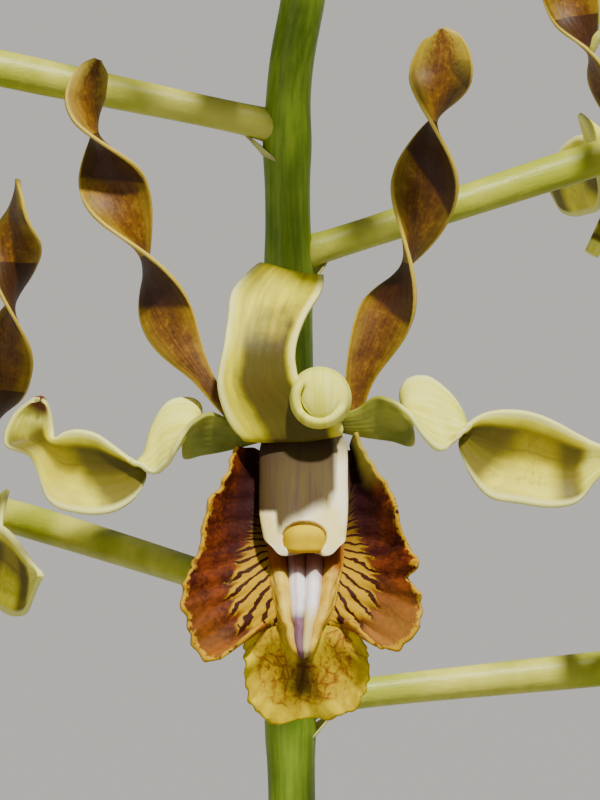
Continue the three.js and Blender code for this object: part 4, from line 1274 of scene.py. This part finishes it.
def leafy_cane(number, row):
    name, foot, top, radius, first, start, leaves, leaf_size, lift = row
    draws = seeded_numbers(7 + number)
    bm = new_mesh()
    rows = [cane_row(foot, top, radius, i / 24) for i in range(25)]
    length = top[2] - BARK_TOP + CANE_DEPTH
    joints = max(6, round(length / JOINT_SPACING))

    def jointed(s, t):
        near = abs(t * joints - round(t * joints))
        return 1 + 0.07 * math.exp(-(near * 16) ** 2) - 0.05 * math.exp(-(near * 5) ** 2)

    def ringed(vert):
        t = (vert.co.z - rows[0][2]) / length * joints
        return math.exp(-((t - round(t)) * 22) ** 2)

    mark(bm, tube(bm, rows, 28, joints * 16, shape=jointed), ringed)
    finished(bm, f"{name}_stalk", (CANE,), name)
    bm = new_mesh()
    for i in range(leaves):
        t = start + (0.97 - start) * i / (leaves - 1)
        azimuth = first + (i % 2) * 180 + 16 * (next(draws) - 0.5)
        long = LEAF_LENGTH * leaf_size * (0.8 + 0.2 * math.sin(math.pi * t) + 0.08 * next(draws))
        wide = LEAF_WIDTH * math.sqrt(leaf_size) * (0.9 + 0.14 * next(draws))
        steep = lift + 10 * t
        droop = steep + 2 + 14 * next(draws)
        leaf(bm, cane_row(foot, top, radius, t), azimuth, long, wide, steep, droop, i * 1.7)
    finished(bm, f"{name}_leaves", (LEAF,), name, thickness=LEAF_THICKNESS)


def inside_radius(z):
    return FOOT_RADIUS - WALL + (RIM_RADIUS - 3 - FOOT_RADIUS) * z / POT_HEIGHT


def spun(bm, profile, steps):
    """A body turned about the upright axis from its half outline."""
    points = [bm.verts.new((r, 0, z)) for r, z in profile]
    edges = [bm.edges.new(pair) for pair in zip(points, points[1:])]
    bmesh.ops.spin(
        bm, geom=points + edges, cent=(0, 0, 0), axis=(0, 0, 1), dvec=(0, 0, 0), angle=TURN,
        steps=steps, use_merge=True, use_normal_flip=False, use_duplicate=False)
    bmesh.ops.remove_doubles(bm, verts=bm.verts, dist=WELD)
    for face in bm.faces:
        face.smooth = True


def chip(bm, rng, centre, size, shade):
    """A broken piece of bark: a bevelled slab with rough faces."""
    turned = Matrix.Rotation(rng.uniform(0, math.pi), 4, "Z")
    for axis in "XY":
        turned = turned @ Matrix.Rotation(rng.uniform(-0.5, 0.5), 4, axis)
    verts = bmesh.ops.create_cube(bm, size=1, matrix=Matrix.Diagonal((*size, 1)))["verts"]
    edges = list({edge for face in faces_of(verts) for edge in face.edges})
    rounded = bmesh.ops.bevel(
        bm, geom=edges + verts, offset=min(size) * 0.24, affect="EDGES", segments=2,
        profile=0.5, material=-1)
    seed = rng.uniform(0, 50)
    everything = {vert for face in rounded["faces"] for vert in face.verts}
    everything |= {vert for vert in verts if vert.is_valid}
    for vert in everything:
        rough = noise.noise_vector(vert.co * 0.22 + Vector((seed, 0, 0)))
        vert.co = turned @ (vert.co + rough * 1.1) + centre
    mark(bm, everything, lambda vert: shade)


def potting_bark():
    """A plain body up to just under the bark's top, with chips that clear the canes."""
    rng = random.Random(5)
    noise.seed_set(5)
    bm = new_mesh()
    low = POT_FLOOR + GAP
    top = BARK_TOP - 0.6
    profile = ((0, low), (inside_radius(low) - GAP, low), (inside_radius(top) - GAP, top), (0, top))
    spun(bm, profile, 64)
    mark(bm, bm.verts, lambda vert: 0.1)
    feet = [cane_row(*row[1:4], 0.19) for row in CANES]
    reach = inside_radius(BARK_TOP) - 4.5
    for i in range(CHIPS):
        r = reach * math.sqrt((i + 0.5) / CHIPS)
        angle = i * GOLDEN_ANGLE
        big = rng.random() ** 1.5
        size = (6 + 9 * big, 4 + 5 * big, 2.4 + 2.6 * big)
        r = min(r, reach - size[0] * 0.38)
        centre = Vector((r * math.cos(angle), r * math.sin(angle), BARK_TOP + 0.2 + rng.uniform(-0.8, 1.2)))
        clear = min(math.hypot(centre.x - f[0], centre.y - f[1]) - f[3] for f in feet)
        shade = rng.random()
        if clear > size[0] * 0.52:
            chip(bm, rng, centre, size, shade)
    finished(bm, "bark_chips", (BARK,), "potting_bark")


def rounded_profile(corners):
    """An outline through corners of radius, height and how far each is rounded off."""
    profile = []
    for i, (r, z, bend) in enumerate(corners):
        here = Vector((r, z))
        if not bend:
            profile.append(tuple(here))
            continue
        before = here + (Vector(corners[i - 1][:2]) - here).normalized() * bend
        after = here + (Vector(corners[i + 1][:2]) - here).normalized() * bend
        for u in (0, 0.2, 0.4, 0.6, 0.8, 1):
            profile.append(tuple(before * (1 - u) ** 2 + here * (2 * u * (1 - u)) + after * u * u))
    return profile


def clay_pot():
    rim_bottom = POT_HEIGHT - RIM_HEIGHT
    profile = rounded_profile((
        (0, 0, 0),
        (FOOT_RADIUS, 0, 1.5),
        (inside_radius(rim_bottom) + WALL, rim_bottom, 0.8),
        (RIM_RADIUS, rim_bottom, 2.0),
        (RIM_RADIUS, POT_HEIGHT, 2.2),
        (inside_radius(POT_HEIGHT), POT_HEIGHT, 1.6),
        (inside_radius(POT_FLOOR), POT_FLOOR, 3.0),
        (0, POT_FLOOR, 0),
    ))
    bm = new_mesh()
    spun(bm, profile, 120)
    cut_drains(finished(bm, "clay_pot", (CLAY,), "pot"))


def cut_drains(pot):
    """Cuts the drain holes out of the pot's floor and keeps its edges sharp there."""
    bm = bmesh.new()
    for i in range(DRAINS):
        angle = (i + 0.5) * TURN / DRAINS
        spot = Vector((DRAIN_OFFSET * math.cos(angle), DRAIN_OFFSET * math.sin(angle), 3)) * MM
        bmesh.ops.create_cone(
            bm, cap_ends=True, segments=32, radius1=DRAIN_RADIUS * MM, radius2=DRAIN_RADIUS * MM,
            depth=30 * MM, matrix=Matrix.Translation(spot))
    drill = placed_mesh(bm, "drain_drill")
    cut = pot.modifiers.new("Boolean", "BOOLEAN")
    cut.operation = "DIFFERENCE"
    cut.object = drill
    cut.solver = "EXACT"
    bpy.context.view_layer.update()
    seen = pot.evaluated_get(bpy.context.evaluated_depsgraph_get())
    drilled = bpy.data.meshes.new_from_object(seen)
    pot.modifiers.clear()
    pot.data = drilled
    bpy.data.objects.remove(drill)
    for face in pot.data.polygons:
        face.use_smooth = True
    pot.data.set_sharp_from_angle(angle=math.radians(40))


def lamp(name, kind, power, colour, towards):
    """A lamp that shines from a direction."""
    light = bpy.data.lights.new(name, kind)
    light.energy = power
    light.color = colour
    thing = placed(name, light)
    thing.rotation_euler = Vector(towards).to_track_quat("Z", "Y").to_euler()
    return thing


def studio():
    """A plain pale floor under a soft sky, with a sun and a large soft lamp."""
    bm = bmesh.new()
    bmesh.ops.create_grid(bm, x_segments=1, y_segments=1, size=60)
    ground = placed_mesh(bm, "floor")
    floor = Finish("studio_floor", 0.9, base_color=(0.3, 0.3, 0.295, 1))
    ground.data.materials.append(floor.material)
    world = bpy.data.worlds.new("soft_room")
    bpy.context.scene.world = world
    world.use_nodes = True
    sky = world.node_tree.nodes["Background"]
    sky.inputs["Color"].default_value = (0.5, 0.51, 0.53, 1)
    sky.inputs["Strength"].default_value = 0.36
    sun = lamp("key", "SUN", 5.9, (1, 0.97, 0.91), (0.21, -0.45, 0.9))
    sun.data.angle = math.radians(4)
    fill = lamp("fill", "AREA", 6, (0.92, 0.96, 1), (-1.6, -1.5, 0.5))
    fill.data.size = 1.6
    fill.location = (-1.6, -1.5, 0.9)


def camera():
    """Looks at the main bloom along its own axis, with the photograph's frame."""
    where = bloom_frame(*MAIN_BLOOM[1:])
    forward = (where.to_3x3() @ upright(1)).normalized()
    lens = bpy.data.cameras.new("camera")
    lens.sensor_width = SENSOR
    lens.lens = SENSOR * CAMERA_DISTANCE / FRAME_HEIGHT
    lens.clip_start = 0.01
    lens.clip_end = 200
    eye = placed("camera", lens)
    eye.location = where @ FRAME_CENTRE * MM + forward * (CAMERA_DISTANCE * MM)
    eye.rotation_euler = forward.to_track_quat("Z", "Y").to_euler()
    bpy.context.scene.camera = eye


camera()
studio()
clay_pot()
potting_bark()
for number, row in enumerate(CANES):
    leafy_cane(number, row)
flower_stem()
main_bloom()
for number, row in enumerate(OTHER_BLOOMS, 1):
    other_bloom(number, row)
